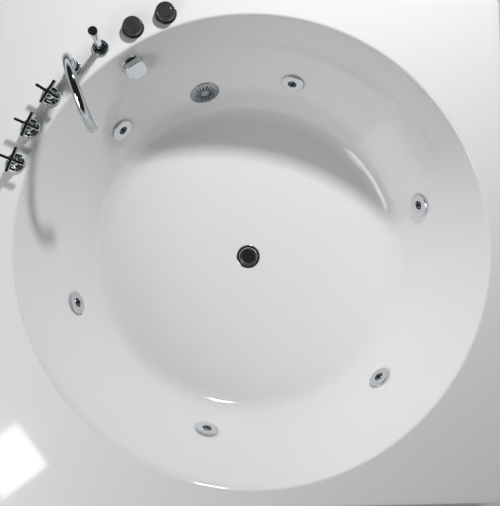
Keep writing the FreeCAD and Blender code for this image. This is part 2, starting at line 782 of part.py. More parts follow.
def make_base_frame():
    """Welded frame: lower ring, two bearers, eight posts and rails behind the aprons."""
    half_tube = dim.tube_side / 2
    inner = frame_half - half_tube
    outer = frame_half + half_tube
    low = dim.rail_base + half_tube
    high = deck_underside - half_tube
    tubes = []
    for name, side in (("front", -1), ("back", 1)):
        tubes.append(tube(f"{name}_rail", 2 * outer, along_x(-outer, frame_half * side, low)))
    for name, side in (("left", -1), ("right", 1)):
        tubes.append(tube(f"{name}_rail", 2 * inner, along_y(frame_half * side, -inner, low)))
    for name, side in (("front", -1), ("back", 1)):
        line = dim.bearer_spread / 2 * side
        tubes.append(tube(f"{name}_bearer", 2 * inner, along_x(-inner, line, low)))
    post_height = deck_underside - rail_top
    for column in (-1, 0, 1):
        for line in (-1, 0, 1):
            if column == 0 and line == 0:
                continue
            foot = Place(frame_half * column, frame_half * line, rail_top)
            tubes.append(tube(f"post_{column + 1}{line + 1}", post_height, foot))
    span = inner - half_tube
    for name, start in (("a", -inner), ("b", half_tube)):
        tubes.append(tube(f"front_head_{name}", span, along_x(start, -frame_half, high)))
        tubes.append(tube(f"side_head_{name}", span, along_y(frame_half, start, high)))
    keep(group("base_frame", tubes))


def make_levelling_feet():
    """Pad, threaded rod and locknut under each corner and under the bearers."""
    spots = [(frame_half * across, frame_half * along) for across in (-1, 1) for along in (-1, 1)]
    bearer = dim.bearer_spread / 2
    reach = dim.foot_spread / 2
    spots += [(reach * across, bearer * along) for across in (-1, 1) for along in (-1, 1)]
    feet = []
    for number, (x, y) in enumerate(spots, start=1):
        feet.append(turned(f"foot_{number}", [
            (0, 0),
            (dim.pad_radius, 0),
            (dim.pad_radius, dim.pad_height - 2 * dim.edge_break),
            (dim.rod_radius + dim.edge_break, dim.pad_height),
            (dim.rod_radius, dim.pad_height),
            (dim.rod_radius, dim.rail_base),
            (0, dim.rail_base)], Place(x, y)))
        feet.append(turned(f"foot_nut_{number}", [
            (dim.rod_radius + dim.running_gap, dim.rail_base - dim.locknut_height),
            (dim.locknut_radius, dim.rail_base - dim.locknut_height),
            (dim.locknut_radius, dim.rail_base),
            (dim.rod_radius + dim.running_gap, dim.rail_base)], Place(x, y)))
    keep(group("levelling_feet", feet))


apron_face = dim.deck_side / 2 - dim.apron_inset
apron_height = dim.deck_height - dim.lip_height - dim.apron_gap - dim.apron_base
screw_line = dim.rail_base + dim.tube_side / 2
screw_spots = [dim.screw_pitch * step for step in (-1.5, -0.5, 0.5, 1.5)]


def apron(label, low, high, yaw):
    """A tray-shaped panel, hollow towards the frame; it runs from low to high along its face."""
    length = high - low
    middle = (low + high) / 2
    turn = Place(yaw=yaw)
    face = box(label + "_tray", length, dim.apron_depth, apron_height,
               turn.shifted(middle, -(apron_face - dim.apron_depth / 2), dim.apron_base))
    hollow = box(label + "_hollow", length - 2 * dim.apron_wall, dim.apron_depth,
                 apron_height - 2 * dim.apron_wall,
                 turn.shifted(middle, -(apron_face - dim.apron_depth / 2 - dim.apron_wall),
                              dim.apron_base + dim.apron_wall))
    holes = []
    for number, spot in enumerate(screw_spots, start=1):
        drill = cylinder(f"{label}_hole_{number}", dim.screw_radius + dim.seat_gap,
                         2 * dim.apron_depth, screw_place(yaw, spot, -dim.apron_depth))
        holes.append(drill)
    keep(cut(label, face, [hollow] + holes))


def screw_place(yaw, spot, outward):
    """On the apron's face at a screw, with +Z pointing in towards the frame."""
    start = Place(yaw=yaw).shifted(spot, -(apron_face - outward), screw_line)
    return Place(start.x, start.y, start.z, sized(yaw) + 90, 90)


def make_aprons():
    """Front apron at -Y, over the end of the side apron at +X."""
    far = apron_face - dim.apron_depth - dim.apron_gap
    apron("front_apron", -apron_face, apron_face, 0)
    apron("side_apron", -far, apron_face, 90)
    screws = []
    head_height = dim.apron_inset
    shank_end = dim.frame_inset - dim.tube_side / 2 - dim.apron_inset
    for name, yaw in (("front", 0), ("side", 90)):
        for number, spot in enumerate(screw_spots, start=1):
            screws.append(turned(f"{name}_screw_{number}", [
                (0, -head_height),
                (dim.screw_head - dim.edge_break / 2, -head_height),
                (dim.screw_head, -head_height / 2),
                (dim.screw_head, 0),
                (dim.screw_radius, 0),
                (dim.screw_radius, shank_end),
                (0, shank_end)], screw_place(yaw, spot, 0)))
    keep(group("apron_screws", screws))


# ---------------------------------------------------------------------------------------------
# Waste and overflow
# ---------------------------------------------------------------------------------------------
def make_waste():
    top = dim.waste_flange_height
    keep(turned("waste_flange", [
        (dim.waste_bore, -dim.waste_tail),
        (dim.waste_thread, -dim.waste_tail),
        (dim.waste_thread, 0),
        (dim.waste_radius, 0),
        (dim.waste_radius, top - dim.edge_break / 2),
        (dim.waste_radius - dim.edge_break, top),
        (dim.waste_ring + dim.edge_break, top),
        (dim.waste_ring, top - dim.edge_break),
        (dim.waste_bore, top - dim.edge_break)], waste_place))
    shoulder = dim.plug_crown - 2 * dim.edge_break
    neck = 3 * dim.plug_stem
    keep(turned("waste_plug", [
        (0, -dim.plug_stem_length),
        (dim.plug_stem, -dim.plug_stem_length),
        (dim.plug_stem, -neck),
        (neck, -dim.plug_stem),
        (dim.plug_radius - dim.edge_break, -dim.edge_break),
        (dim.plug_radius, -dim.edge_break / 2),
        (dim.plug_radius, shoulder),
        (dim.plug_radius - dim.edge_break, shoulder + dim.edge_break),
        (0, dim.plug_crown)], waste_place))

    base = dim.body_base - waste_seat
    under_gasket = waste_underside - dim.gasket
    socket = dim.waste_thread + dim.seat_gap
    step = -dim.waste_tail - dim.edge_break / 2
    barrel = turned("waste_barrel", [
        (dim.body_neck - 5, base),
        (dim.body_neck, base),
        (dim.body_neck, step - dim.edge_break),
        (dim.body_radius, step - dim.edge_break),
        (dim.body_radius, under_gasket - dim.gasket - 1),
        (dim.body_flange, under_gasket - dim.gasket - 1),
        (dim.body_flange, under_gasket),
        (socket, under_gasket),
        (socket, step),
        (dim.body_neck - 5, step)])
    web_height = 2 * dim.plug_stem
    web = box("waste_web", 2 * dim.body_neck - 4, web_height, web_height,
              Place(z=step - web_height - dim.edge_break))
    inlet_height = dim.hose_height - waste_seat
    inlet = cylinder("waste_inlet", dim.hose_radius, dim.hose_inlet, Place(0, 0, inlet_height, 0, 90))
    boss_reach = dim.hose_inlet * 0.75
    boss = cylinder("waste_cable_boss", dim.cable_boss, boss_reach,
                    Place(0, dim.cable_offset, inlet_height, 0, 90))
    clear = [
        cylinder("waste_way", dim.body_neck - 5, step - dim.edge_break - web_height - base,
                 Place(z=base)),
        cylinder("waste_inlet_bore", dim.hose_bore, dim.hose_inlet + 1,
                 Place(0, 0, inlet_height, 0, 90)),
        cylinder("waste_guide", dim.plug_stem + dim.running_gap, dim.waste_tail,
                 Place(z=step - dim.waste_tail + 1)),
    ]
    keep(cut("waste_body", fuse("waste_body_blank", [barrel, web, inlet, boss]), clear, waste_place))

    height = dim.body_base - dim.trap_base
    axis = dim.trap_base + dim.hose_radius + 2
    bottle = fuse("trap_blank", [
        cylinder("trap_bottle", dim.trap_radius, height, Place(z=dim.trap_base)),
        cylinder("trap_tail", dim.hose_radius + dim.edge_break, dim.trap_outlet - dim.trap_spigot,
                 Place(0, 0, axis, 180, 90)),
        cylinder("trap_plain_end", dim.hose_radius, dim.trap_outlet, Place(0, 0, axis, 180, 90))])
    keep(cut("waste_trap", bottle, [
        cylinder("trap_inside", dim.trap_radius - dim.trap_wall, height - 2 * dim.trap_wall,
                 Place(z=dim.trap_base + dim.trap_wall)),
        cylinder("trap_inlet", dim.body_neck - 5, height, Place(z=dim.trap_base + dim.trap_wall)),
        cylinder("trap_tail_bore", dim.hose_bore, dim.trap_outlet + 1, Place(0, 0, axis, 180, 90))]))


def make_overflow():
    ring_top = dim.overflow_ring_height
    keep(turned("overflow_plate", [
        (dim.overflow_throat, -dim.overflow_tail),
        (dim.overflow_thread, -dim.overflow_tail),
        (dim.overflow_thread, 0),
        (dim.overflow_ring, 0),
        (dim.overflow_ring, ring_top - 2 * dim.edge_break),
        (dim.overflow_ring - 2 * dim.edge_break, ring_top),
        (dim.overflow_throat, ring_top)], overflow_place))

    knob_base = ring_top + dim.knob_gap
    shaft_end = dim.overflow_cup_depth + 2
    disc = cylinder("knob_disc", dim.knob_radius, dim.knob_height, Place(z=knob_base))
    square = box("knob_square", dim.knob_flats, dim.knob_flats, dim.knob_height, Place(z=knob_base))
    face = doc.addObject("Part::Common", "knob_face")
    face.Base = disc
    face.Tool = square
    shaft = cylinder("knob_shaft_rod", dim.knob_shaft, knob_base + shaft_end + 1, Place(z=-shaft_end))
    keep(fuse("overflow_knob", [face, shaft], overflow_place))

    back = -dim.overflow_cup_depth
    front = -dim.shell_wall - dim.gasket
    seat = dim.overflow_thread + dim.seat_gap
    cavity = dim.overflow_cup - 5
    cup = turned("overflow_cup_turned", [
        (dim.knob_shaft + dim.running_gap, back),
        (dim.overflow_cup, back),
        (dim.overflow_cup, front),
        (seat, front),
        (seat, -dim.overflow_tail - 1),
        (cavity, -dim.overflow_tail - 1),
        (cavity, back + 8),
        (dim.knob_shaft + dim.running_gap, back + 8)])
    down = Place(0, 0, -dim.overflow_hose_depth, 0, -90)
    spigot = cylinder("overflow_spigot", dim.hose_radius, overflow_hose_start, down)
    cable_rest = Place(0, dim.cable_offset, -dim.overflow_hose_depth, 0, -90)
    boss = cylinder("overflow_boss", dim.cable_boss, overflow_hose_start, cable_rest)
    clear = [
        cylinder("overflow_spigot_bore", dim.hose_bore, overflow_hose_start + 1, down),
        cylinder("overflow_inside", cavity, dim.overflow_cup_depth - 8 - dim.overflow_tail - 1,
                 Place(z=back + 8)),
        cylinder("overflow_ring_room", seat, dim.overflow_tail + 1 + front,
                 Place(z=-dim.overflow_tail - 1)),
        cylinder("overflow_knob_way", dim.knob_shaft + dim.running_gap, dim.overflow_cup_depth,
                 Place(z=back - 1)),
    ]
    keep(cut("overflow_body", fuse("overflow_blank", [cup, spigot, boss]), clear, overflow_place))


overflow_hose_start = dim.overflow_cup + 14


def waste_route(offset, end_reach):
    """Down behind the basin wall, then in under the floor to the waste body."""
    start = overflow_place.shifted(-overflow_hose_start, offset, -dim.overflow_hose_depth)
    drop = start.z - dim.hose_height
    corner = start.shifted(-drop / cos(dim.wall_tilt), 0, 0)
    end = Place(z=dim.hose_height, yaw=dim.overflow_azimuth).shifted(end_reach, offset, 0)
    return [start.point(), corner.point(), end.point()]


def make_waste_lines():
    keep(pipe("overflow_hose", waste_route(0, dim.hose_inlet), [dim.hose_bend.value],
              dim.hose_radius.value, dim.hose_bore.value))
    keep(pipe("waste_cable", waste_route(dim.cable_offset, dim.hose_inlet * 0.75),
              [dim.hose_bend.value], dim.cable_radius.value))


# ---------------------------------------------------------------------------------------------
# Jets, water line and air line
# ---------------------------------------------------------------------------------------------
def ring_outline(inner, outer, low, high):
    return [(inner, low), (outer, low), (outer, high), (inner, high)]


def jet_fitting(number, place):
    return turned(f"jet_fitting_{number}", [
        (dim.jet_bore, -dim.jet_barrel_length),
        (dim.jet_barrel, -dim.jet_barrel_length),
        (dim.jet_barrel, 0),
        (dim.jet_flange, 0),
        (dim.jet_flange, dim.jet_flange_height),
        (dim.jet_bore, dim.jet_flange_height)], place)


def jet_trim(number, place):
    """Flat disc with a skirt that turns in the fitting's bore and holds the nozzle ball."""
    low = dim.jet_flange_height + dim.seat_gap
    high = low + dim.trim_height
    skirt = dim.jet_bore - dim.seat_gap
    socket = dim.ball_radius + dim.seat_gap
    return turned(f"jet_trim_{number}", [
        (dim.trim_opening, low),
        (dim.trim_opening, high - dim.edge_break / 2),
        (dim.trim_opening + dim.edge_break / 2, high),
        (dim.trim_radius - 2 * dim.edge_break, high),
        (dim.trim_radius, high - dim.edge_break),
        (dim.trim_radius, low),
        (skirt, low),
        (skirt, -dim.trim_skirt),
        (socket, -dim.trim_skirt),
        (socket, 0)], place)


def jet_nozzle(number, place):
    """Eyeball: a ball cut flat in front, with its outlet and a wider inlet behind."""
    centre = -dim.ball_depth
    ball = doc.addObject("Part::Sphere", f"jet_ball_{number}")
    bind(ball, Radius=dim.ball_radius, **{"Placement.Base.z": centre})
    front = centre + dim.nozzle_flat
    face = cylinder(f"jet_face_{number}", dim.ball_radius, dim.ball_radius, Place(z=front))
    outlet = cylinder(f"jet_outlet_{number}", dim.nozzle_bore, 2 * dim.ball_radius,
                      Place(z=centre - dim.ball_radius / 2))
    inlet = cylinder(f"jet_inlet_{number}", dim.nozzle_inlet, dim.ball_radius,
                     Place(z=centre - dim.ball_radius))
    return cut(f"jet_nozzle_{number}", ball, [face, outlet, inlet], place)


def jet_housing(number, place):
    """Closed cup behind the wall with water spigots to both sides and an air spigot on top."""
    socket = dim.jet_barrel + dim.seat_gap
    rear = -dim.housing_depth
    wall = dim.housing_radius - dim.jet_bore
    cup = turned(f"jet_cup_{number}", [
        (0, rear),
        (dim.housing_radius, rear),
        (dim.housing_radius, -dim.jet_bore),
        (socket, -dim.jet_bore),
        (socket, -dim.jet_barrel_length),
        (0, -dim.jet_barrel_length)])
    level = -dim.line_depth
    through = Place(0, -dim.water_spigot, level, 90, 90)
    upward = Place(0, 0, level, 0, 90)
    water = cylinder(f"jet_water_{number}", dim.water_radius, 2 * dim.water_spigot, through)
    air = cylinder(f"jet_air_{number}", dim.air_radius, dim.air_spigot, upward)
    clear = [
        cylinder(f"jet_chamber_{number}", dim.jet_bore, dim.housing_depth - wall / 2,
                 Place(z=rear + wall / 2)),
        cylinder(f"jet_water_bore_{number}", dim.water_bore, 2 * dim.water_spigot, through),
        cylinder(f"jet_air_bore_{number}", dim.air_bore, dim.air_spigot, upward),
    ]
    return cut(f"jet_housing_{number}", fuse(f"jet_housing_blank_{number}", [cup, water, air]),
               clear, place)


def make_jets():
    fittings = []
    housings = []
    for number, place in enumerate(jet_places, start=1):
        fittings.append(jet_fitting(number, place))
        housings.append(jet_housing(number, place))
        keep(jet_trim(number, place))
        keep(jet_nozzle(number, place))
    keep(group("jet_fittings", fittings))
    keep(group("jet_housings", housings))


def make_water_manifold():
    """Six arcs between the housings, and the pump's feed from below."""
    overlap = dim.water_radius / 5
    margin = angle_of_chord(dim.water_spigot - overlap, water_ring)
    arcs = []
    for number, azimuth in enumerate(jet_azimuths, start=1):
        start = azimuth + margin
        sweep = 60 - 2 * margin
        outside = ring_pipe(f"water_arc_{number}", water_ring, dim.water_radius, water_height,
                            start, sweep)
        tools = [ring_pipe(f"water_arc_bore_{number}", water_ring, dim.water_bore, water_height,
                           start, sweep)]
        for end, place in (("a", jet_places[number - 1]), ("b", jet_places[number % 6])):
            near = place.shifted(0, -dim.water_spigot, -dim.line_depth)
            along = Place(near.x, near.y, near.z, near.yaw + 90, 90)
            tools.append(cylinder(f"water_arc_end_{number}{end}", dim.water_radius + 2,
                                  2 * dim.water_spigot, along))
        arcs.append(cut(f"water_line_{number}", outside, tools))
    outlet = pump_outlet_top.point()
    axis_height = water_height.value
    inward = math.hypot(outlet.x, outlet.y)
    ring_side = water_ring.value + dim.water_radius.value + dim.seat_gap.value
    corner = FreeCAD.Vector(outlet.x, outlet.y, axis_height)
    end = FreeCAD.Vector(outlet.x * ring_side / inward, outlet.y * ring_side / inward, axis_height)
    feed = pipe("pump_feed", [outlet, corner, end], [dim.outlet_bend.value],
                dim.outlet_radius.value, dim.outlet_bore.value)
    keep(group("water_manifold", arcs + [feed]))


def make_air_manifold():
    """Closed ring above the jets, and the drop from the regulator."""
    outside = ring_pipe("air_ring_outside", air_circle, dim.air_radius, air_height)
    bore = ring_pipe("air_ring_bore", air_circle, dim.air_bore, air_height)
    ring = cut("air_ring", outside, [bore])
    top = air_place.shifted(0, 0, -regulator_reach).point()
    corner = FreeCAD.Vector(top.x, top.y, air_height.value)
    side = air_circle.value + dim.air_radius.value + dim.seat_gap.value
    share = side / dim.fitting_circle.value
    end = FreeCAD.Vector(top.x * share, top.y * share, air_height.value)
    reach = dim.fitting_circle.value - side
    drop = pipe("air_drop", [top, corner, end], [0.8 * reach],
                dim.air_radius.value, dim.air_bore.value)
    keep(group("air_manifold", [ring, drop]))


def make_gaskets():
    """Rubber rings behind the wall at each jet, the suction and the overflow, and at the waste."""
    low = -dim.shell_wall - dim.gasket
    high = -dim.shell_wall
    rings = []
    for number, place in enumerate(jet_places, start=1):
        outline = ring_outline(dim.jet_hole, dim.jet_flange, low, high)
        rings.append(turned(f"jet_gasket_{number}", outline, place))
    rings.append(turned("overflow_gasket", ring_outline(dim.jet_hole, dim.overflow_cup, low, high),
                        overflow_place))
    rings.append(turned("suction_gasket",
                        ring_outline(dim.suction_thread + 1, dim.sump_radius, low, high),
                        suction_place))
    rings.append(turned("waste_gasket",
                        ring_outline(dim.waste_thread + 1, dim.body_flange,
                                     waste_underside - dim.gasket, waste_underside), waste_place))
    keep(group("wall_gaskets", rings))


def make_backing_nuts():
    """Ring nuts behind the jets and under the deck fittings."""
    nuts = []
    wall_high = -dim.shell_wall - dim.gasket
    jet_nut_bore = dim.jet_barrel + dim.seat_gap
    for number, place in enumerate(jet_places, start=1):
        outline = ring_outline(jet_nut_bore, jet_nut_bore + dim.nut_wall,
                               wall_high - dim.nut_height, wall_high)
        nuts.append(turned(f"jet_nut_{number}", outline, place))
    deck = [("spout", dim.spout_shank, spout_place), ("shower", dim.sleeve_radius, shower_place),
            ("button", dim.control_barrel, button_place), ("air", dim.control_barrel, air_place)]
    deck += [(name, dim.valve_radius, place) for name, place in zip(TAPS, tap_places)]
    for name, shank, place in deck:
        bore = shank + dim.seat_gap
        outline = ring_outline(bore, bore + dim.nut_wall,
                               -dim.shell_wall - dim.nut_height, -dim.shell_wall)
        nuts.append(turned(f"{name}_nut", outline, place))
    keep(group("backing_nuts", nuts))


# ---------------------------------------------------------------------------------------------
# Suction and pump
# ---------------------------------------------------------------------------------------------
def slot_cutter():
    """Curved slots that sweep from the hub to the field's edge, all turned the same way."""
    inner = dim.grille_hub.value + dim.slot_width.value / 2
    outer = dim.grille_field.value - dim.slot_width.value / 2
    bend = dim.slot_curve.value
    half = dim.slot_width.value / 2
    chord = outer - inner
    middle = (inner + outer) / 2
    height = 4 * dim.grille_crown.value
    rise = math.sqrt(bend**2 - (chord / 2)**2)
    centre = FreeCAD.Vector(middle, -rise, -height / 2)
    spread = math.degrees(math.asin(chord / 2 / bend))
    axis = FreeCAD.Vector(0, 0, 1)
    outside = Part.makeCylinder(bend + half, height, centre, axis, 2 * spread)
    inside = Part.makeCylinder(bend - half, height, centre, axis, 2 * spread)
    curve = outside.cut(inside)
    curve.rotate(centre, axis, 90 - spread)
    slots = []
    count = int(dim.slot_count.value)
    for index in range(count):
        slot = curve.copy()
        slot.rotate(FreeCAD.Vector(), axis, 360 * index / count)
        slots.append(slot)
    return shaped("grille_slots", slots[0].multiFuse(slots[1:]))


def make_suction():
    wall = dim.grille_edge - 0.5
    dome = turned("grille_dome", [
        (dim.suction_throat, -dim.suction_tail),
        (dim.suction_thread, -dim.suction_tail),
        (dim.suction_thread, 0),
        (dim.grille_radius, 0),
        (dim.grille_radius, dim.grille_edge),
        (dim.grille_radius - dim.edge_break, dim.grille_edge + dim.edge_break / 2),
        (dim.grille_field, dim.grille_crown - dim.edge_break),
        (dim.grille_hub, dim.grille_crown),
        (0, dim.grille_crown),
        (0, dim.grille_crown - wall),
        (dim.grille_hub, dim.grille_crown - wall),
        (dim.grille_field, dim.grille_crown - dim.edge_break - wall),
        (dim.suction_throat, dim.grille_edge - wall)])
    keep(cut("suction_grille", dome, [grille_window()], suction_place))

    socket = dim.suction_thread + dim.seat_gap
    front = -dim.shell_wall - dim.gasket
    cup = turned("sump_cup", [
        (0, -dim.sump_depth),
        (dim.sump_radius, -dim.sump_depth),
        (dim.sump_radius, front),
        (socket, front),
        (socket, -dim.suction_tail - 1),
        (0, -dim.suction_tail - 1)])
    down = Place(0, 0, -dim.sump_axis_depth, 0, -(90 + dim.wall_tilt))
    drop = cylinder("sump_drop_pipe", dim.suction_radius, dim.sump_drop, down)
    clear = [
        cylinder("sump_chamber", dim.suction_throat, dim.sump_depth - 6, Place(z=-dim.sump_depth + 6)),
        cylinder("sump_drop_bore", dim.suction_bore, dim.sump_drop + 1, down),
        cylinder("sump_socket", socket, dim.suction_tail + 1 + front, Place(z=-dim.suction_tail - 1)),
    ]
    keep(cut("suction_housing", fuse("sump_blank", [cup, drop]), clear, suction_place))

    start = sump_place.point() - FreeCAD.Vector(0, 0, dim.sump_drop.value)
    neck = dim.volute_length + dim.inlet_length
    end = pump_place.shifted(0, 0, neck).point()
    corner = FreeCAD.Vector(start.x, start.y, end.z)
    keep(pipe("suction_pipe", [start, corner, end], [dim.suction_bend.value],
              dim.suction_radius.value, dim.suction_bore.value))


def grille_window():
    """Slots cut only through the dome, not through the tail behind it."""
    room = doc.addObject("Part::Cylinder", "grille_room")
    bind(room, Radius=dim.grille_field, Height=2 * dim.grille_crown)
    window = doc.addObject("Part::Common", "grille_window")
    window.Base = room
    window.Tool = slot_cutter()
    return window


def blades(label, low, high, inner, outer):
    """Flat radial blades round the shaft."""
    length = outer - inner
    middle = (inner + outer) / 2
    set_of_blades = []
    for index in range(int(dim.blade_count.value)):
        turn = Place(z=low, yaw=360 / dim.blade_count * index)
        set_of_blades.append(box(f"{label}_{index + 1}", length, dim.blade_width, high - low,
                                 turn.shifted(middle, 0, 0)))
    return set_of_blades


def make_motor():
    """Casing with end shields and a pressed-in stator, cooling fins and a terminal box."""
    rear = -dim.motor_length
    bearing = dim.shaft_radius + dim.running_gap
    inside = dim.motor_radius - dim.motor_wall
    casing = turned("motor_casing", [
        (bearing, rear),
        (dim.motor_radius, rear),
        (dim.motor_radius, 0),
        (bearing, 0),
        (bearing, -dim.motor_wall),
        (inside, -dim.motor_wall),
        (inside, -dim.stator_margin),
        (dim.stator_bore, -dim.stator_margin),
        (dim.stator_bore, rear + dim.stator_margin),
        (inside, rear + dim.stator_margin),
        (inside, rear + dim.motor_wall),
        (bearing, rear + dim.motor_wall)])
    fins = []
    fin_length = dim.motor_length - 2 * dim.fin_margin
    for index in range(int(dim.fin_count.value)):
        turn = Place(z=rear + dim.fin_margin, yaw=360 / dim.fin_count * (index + 0.5))
        reach = dim.motor_radius + dim.fin_height / 2 - 0.5
        fins.append(box(f"fin_{index + 1}", dim.fin_height + 1, dim.fin_width, fin_length,
                        turn.shifted(reach, 0, 0)))
    terminal_height = dim.motor_radius / 2
    terminal = box("motor_terminal", terminal_height, 50, 70,
                   Place(-(dim.motor_radius + terminal_height / 2 - 6), 0, rear / 2 - 35))
    keep(fuse("pump_motor", [casing, terminal] + fins, pump_place))


def make_rotor():
    """Shaft with the motor's rotor, the impeller in the pump housing and the fan at the back."""
    rear = -dim.motor_length
    impeller_base = dim.volute_wall + 4
    plate = 4
    fan_base = rear - 4
    shaft_end = fan_base - dim.fan_height
    core = dim.stator_bore - dim.rotor_gap
    spindle = turned("pump_spindle", [
        (0, shaft_end),
        (dim.shaft_radius, shaft_end),
        (dim.shaft_radius, fan_base - plate),
        (dim.fan_radius, fan_base - plate),
        (dim.fan_radius, fan_base),
        (dim.shaft_radius, fan_base),
        (dim.shaft_radius, rear + dim.stator_margin),
        (core, rear + dim.stator_margin),
        (core, -dim.stator_margin),
        (dim.shaft_radius, -dim.stator_margin),
        (dim.shaft_radius, impeller_base),
        (dim.impeller_radius, impeller_base),
        (dim.impeller_radius, impeller_base + plate),
        (dim.shaft_radius + 4, impeller_base + plate),
        (dim.shaft_radius + 4, impeller_base + dim.impeller_height),
        (0, impeller_base + dim.impeller_height)])
    vanes = blades("vane", impeller_base + 1, impeller_base + dim.impeller_height,
                   dim.shaft_radius, dim.impeller_radius)
    fan = blades("fan_blade", shaft_end, fan_base - 1, dim.shaft_radius - 1, dim.fan_radius)
    keep(fuse("pump_rotor", [spindle] + vanes + fan, pump_place))


def make_pump_housing():
    wall = dim.volute_wall
    front = dim.volute_length
    neck_end = front + dim.inlet_length
    inlet_bore = dim.inlet_radius - 5
    casing = turned("volute_casing", [
        (0, 0),
        (dim.volute_radius, 0),
        (dim.volute_radius, front),
        (dim.inlet_radius, front),
        (dim.inlet_radius, neck_end),
        (0, neck_end)])
    outlet_place = Place(0, dim.outlet_offset, front / 2, 0, -90)
    outlet = cylinder("volute_outlet", dim.outlet_radius, dim.outlet_rise, outlet_place)
    clear = [
        cylinder("volute_chamber", dim.chamber_radius, front - 2 * wall, Place(z=wall)),
        cylinder("volute_inlet_bore", inlet_bore, neck_end, Place(z=wall + 1)),
        cylinder("volute_shaft_bore", dim.shaft_radius + dim.seat_gap, wall + 2, Place(z=-1)),
        cylinder("volute_outlet_bore", dim.outlet_bore, dim.outlet_rise + 1, outlet_place),
    ]
    keep(cut("pump_volute", fuse("volute_blank", [casing, outlet]), clear, pump_place))

    cover_start = -dim.motor_length + dim.cover_overlap
    cover_end = cover_start - dim.cover_length
    fit = dim.motor_radius + dim.seat_gap
    keep(turned("pump_fan_cover", [
        (dim.cover_vent, cover_end),
        (fit + dim.cover_wall, cover_end),
        (fit + dim.cover_wall, cover_start),
        (fit, cover_start),
        (fit, cover_end + dim.cover_wall),
        (dim.cover_vent, cover_end + dim.cover_wall)], pump_place))

    half = dim.union_length / 2
    inlet_fit = dim.inlet_radius + dim.seat_gap
    outlet_fit = dim.outlet_radius + dim.seat_gap
    inlet_nut = turned("inlet_union", ring_outline(inlet_fit, inlet_fit + dim.union_wall,
                                                   neck_end - half, neck_end + half), pump_place)
    outlet_nut = turned("outlet_union", ring_outline(outlet_fit, outlet_fit + dim.union_wall,
                                                     -half, half), pump_outlet_top)
    keep(group("pump_unions", [inlet_nut, outlet_nut]))


pump_outlet_top = Place(dim.pump_face_x + dim.volute_length / 2, sump_place.y + dim.outlet_offset,
                        dim.pump_axis_height + dim.outlet_rise)


def make_pump_mount():
    """Rubber-footed plate with two saddles that carry the motor."""
    middle_x = dim.pump_face_x - dim.motor_length / 2
    plate_place = Place(middle_x, sump_place.y, dim.mount_pad_height)
    plate = box("mount_sheet", dim.mount_length, dim.mount_width, dim.mount_plate, plate_place)
    saddle_base = dim.mount_pad_height + dim.mount_plate - 1
    saddle_height = dim.pump_axis_height - saddle_base - dim.motor_radius / 2
    bore = cylinder("saddle_bore", dim.motor_radius, dim.motor_length,
                    pump_place.shifted(0, 0, -dim.motor_length))
    pieces = [plate]
    inset = dim.cover_overlap + dim.saddle_thickness / 2 + 1
    for name, x in (("front", dim.pump_face_x - inset),
                    ("rear", dim.pump_face_x - dim.motor_length + inset)):
        pieces.append(box(f"{name}_saddle", dim.saddle_thickness, dim.saddle_width, saddle_height,
                          Place(x, sump_place.y, saddle_base)))
    reach_x = dim.mount_length / 2 - dim.mount_pad_radius
    reach_y = dim.mount_width / 2 - dim.mount_pad_radius
    for number, (side_x, side_y) in enumerate([(-1, -1), (-1, 1), (1, -1), (1, 1)], start=1):
        pieces.append(cylinder(f"mount_pad_{number}", dim.mount_pad_radius, dim.mount_pad_height + 1,
                               Place(middle_x + reach_x * side_x, sump_place.y + reach_y * side_y)))
    keep(cut("pump_mount", fuse("mount_blank", pieces), [bore]))


# ---------------------------------------------------------------------------------------------
# Button, air regulator and control box
# ---------------------------------------------------------------------------------------------
regulator_spigot = dim.spot_height
regulator_reach = dim.control_length + regulator_spigot


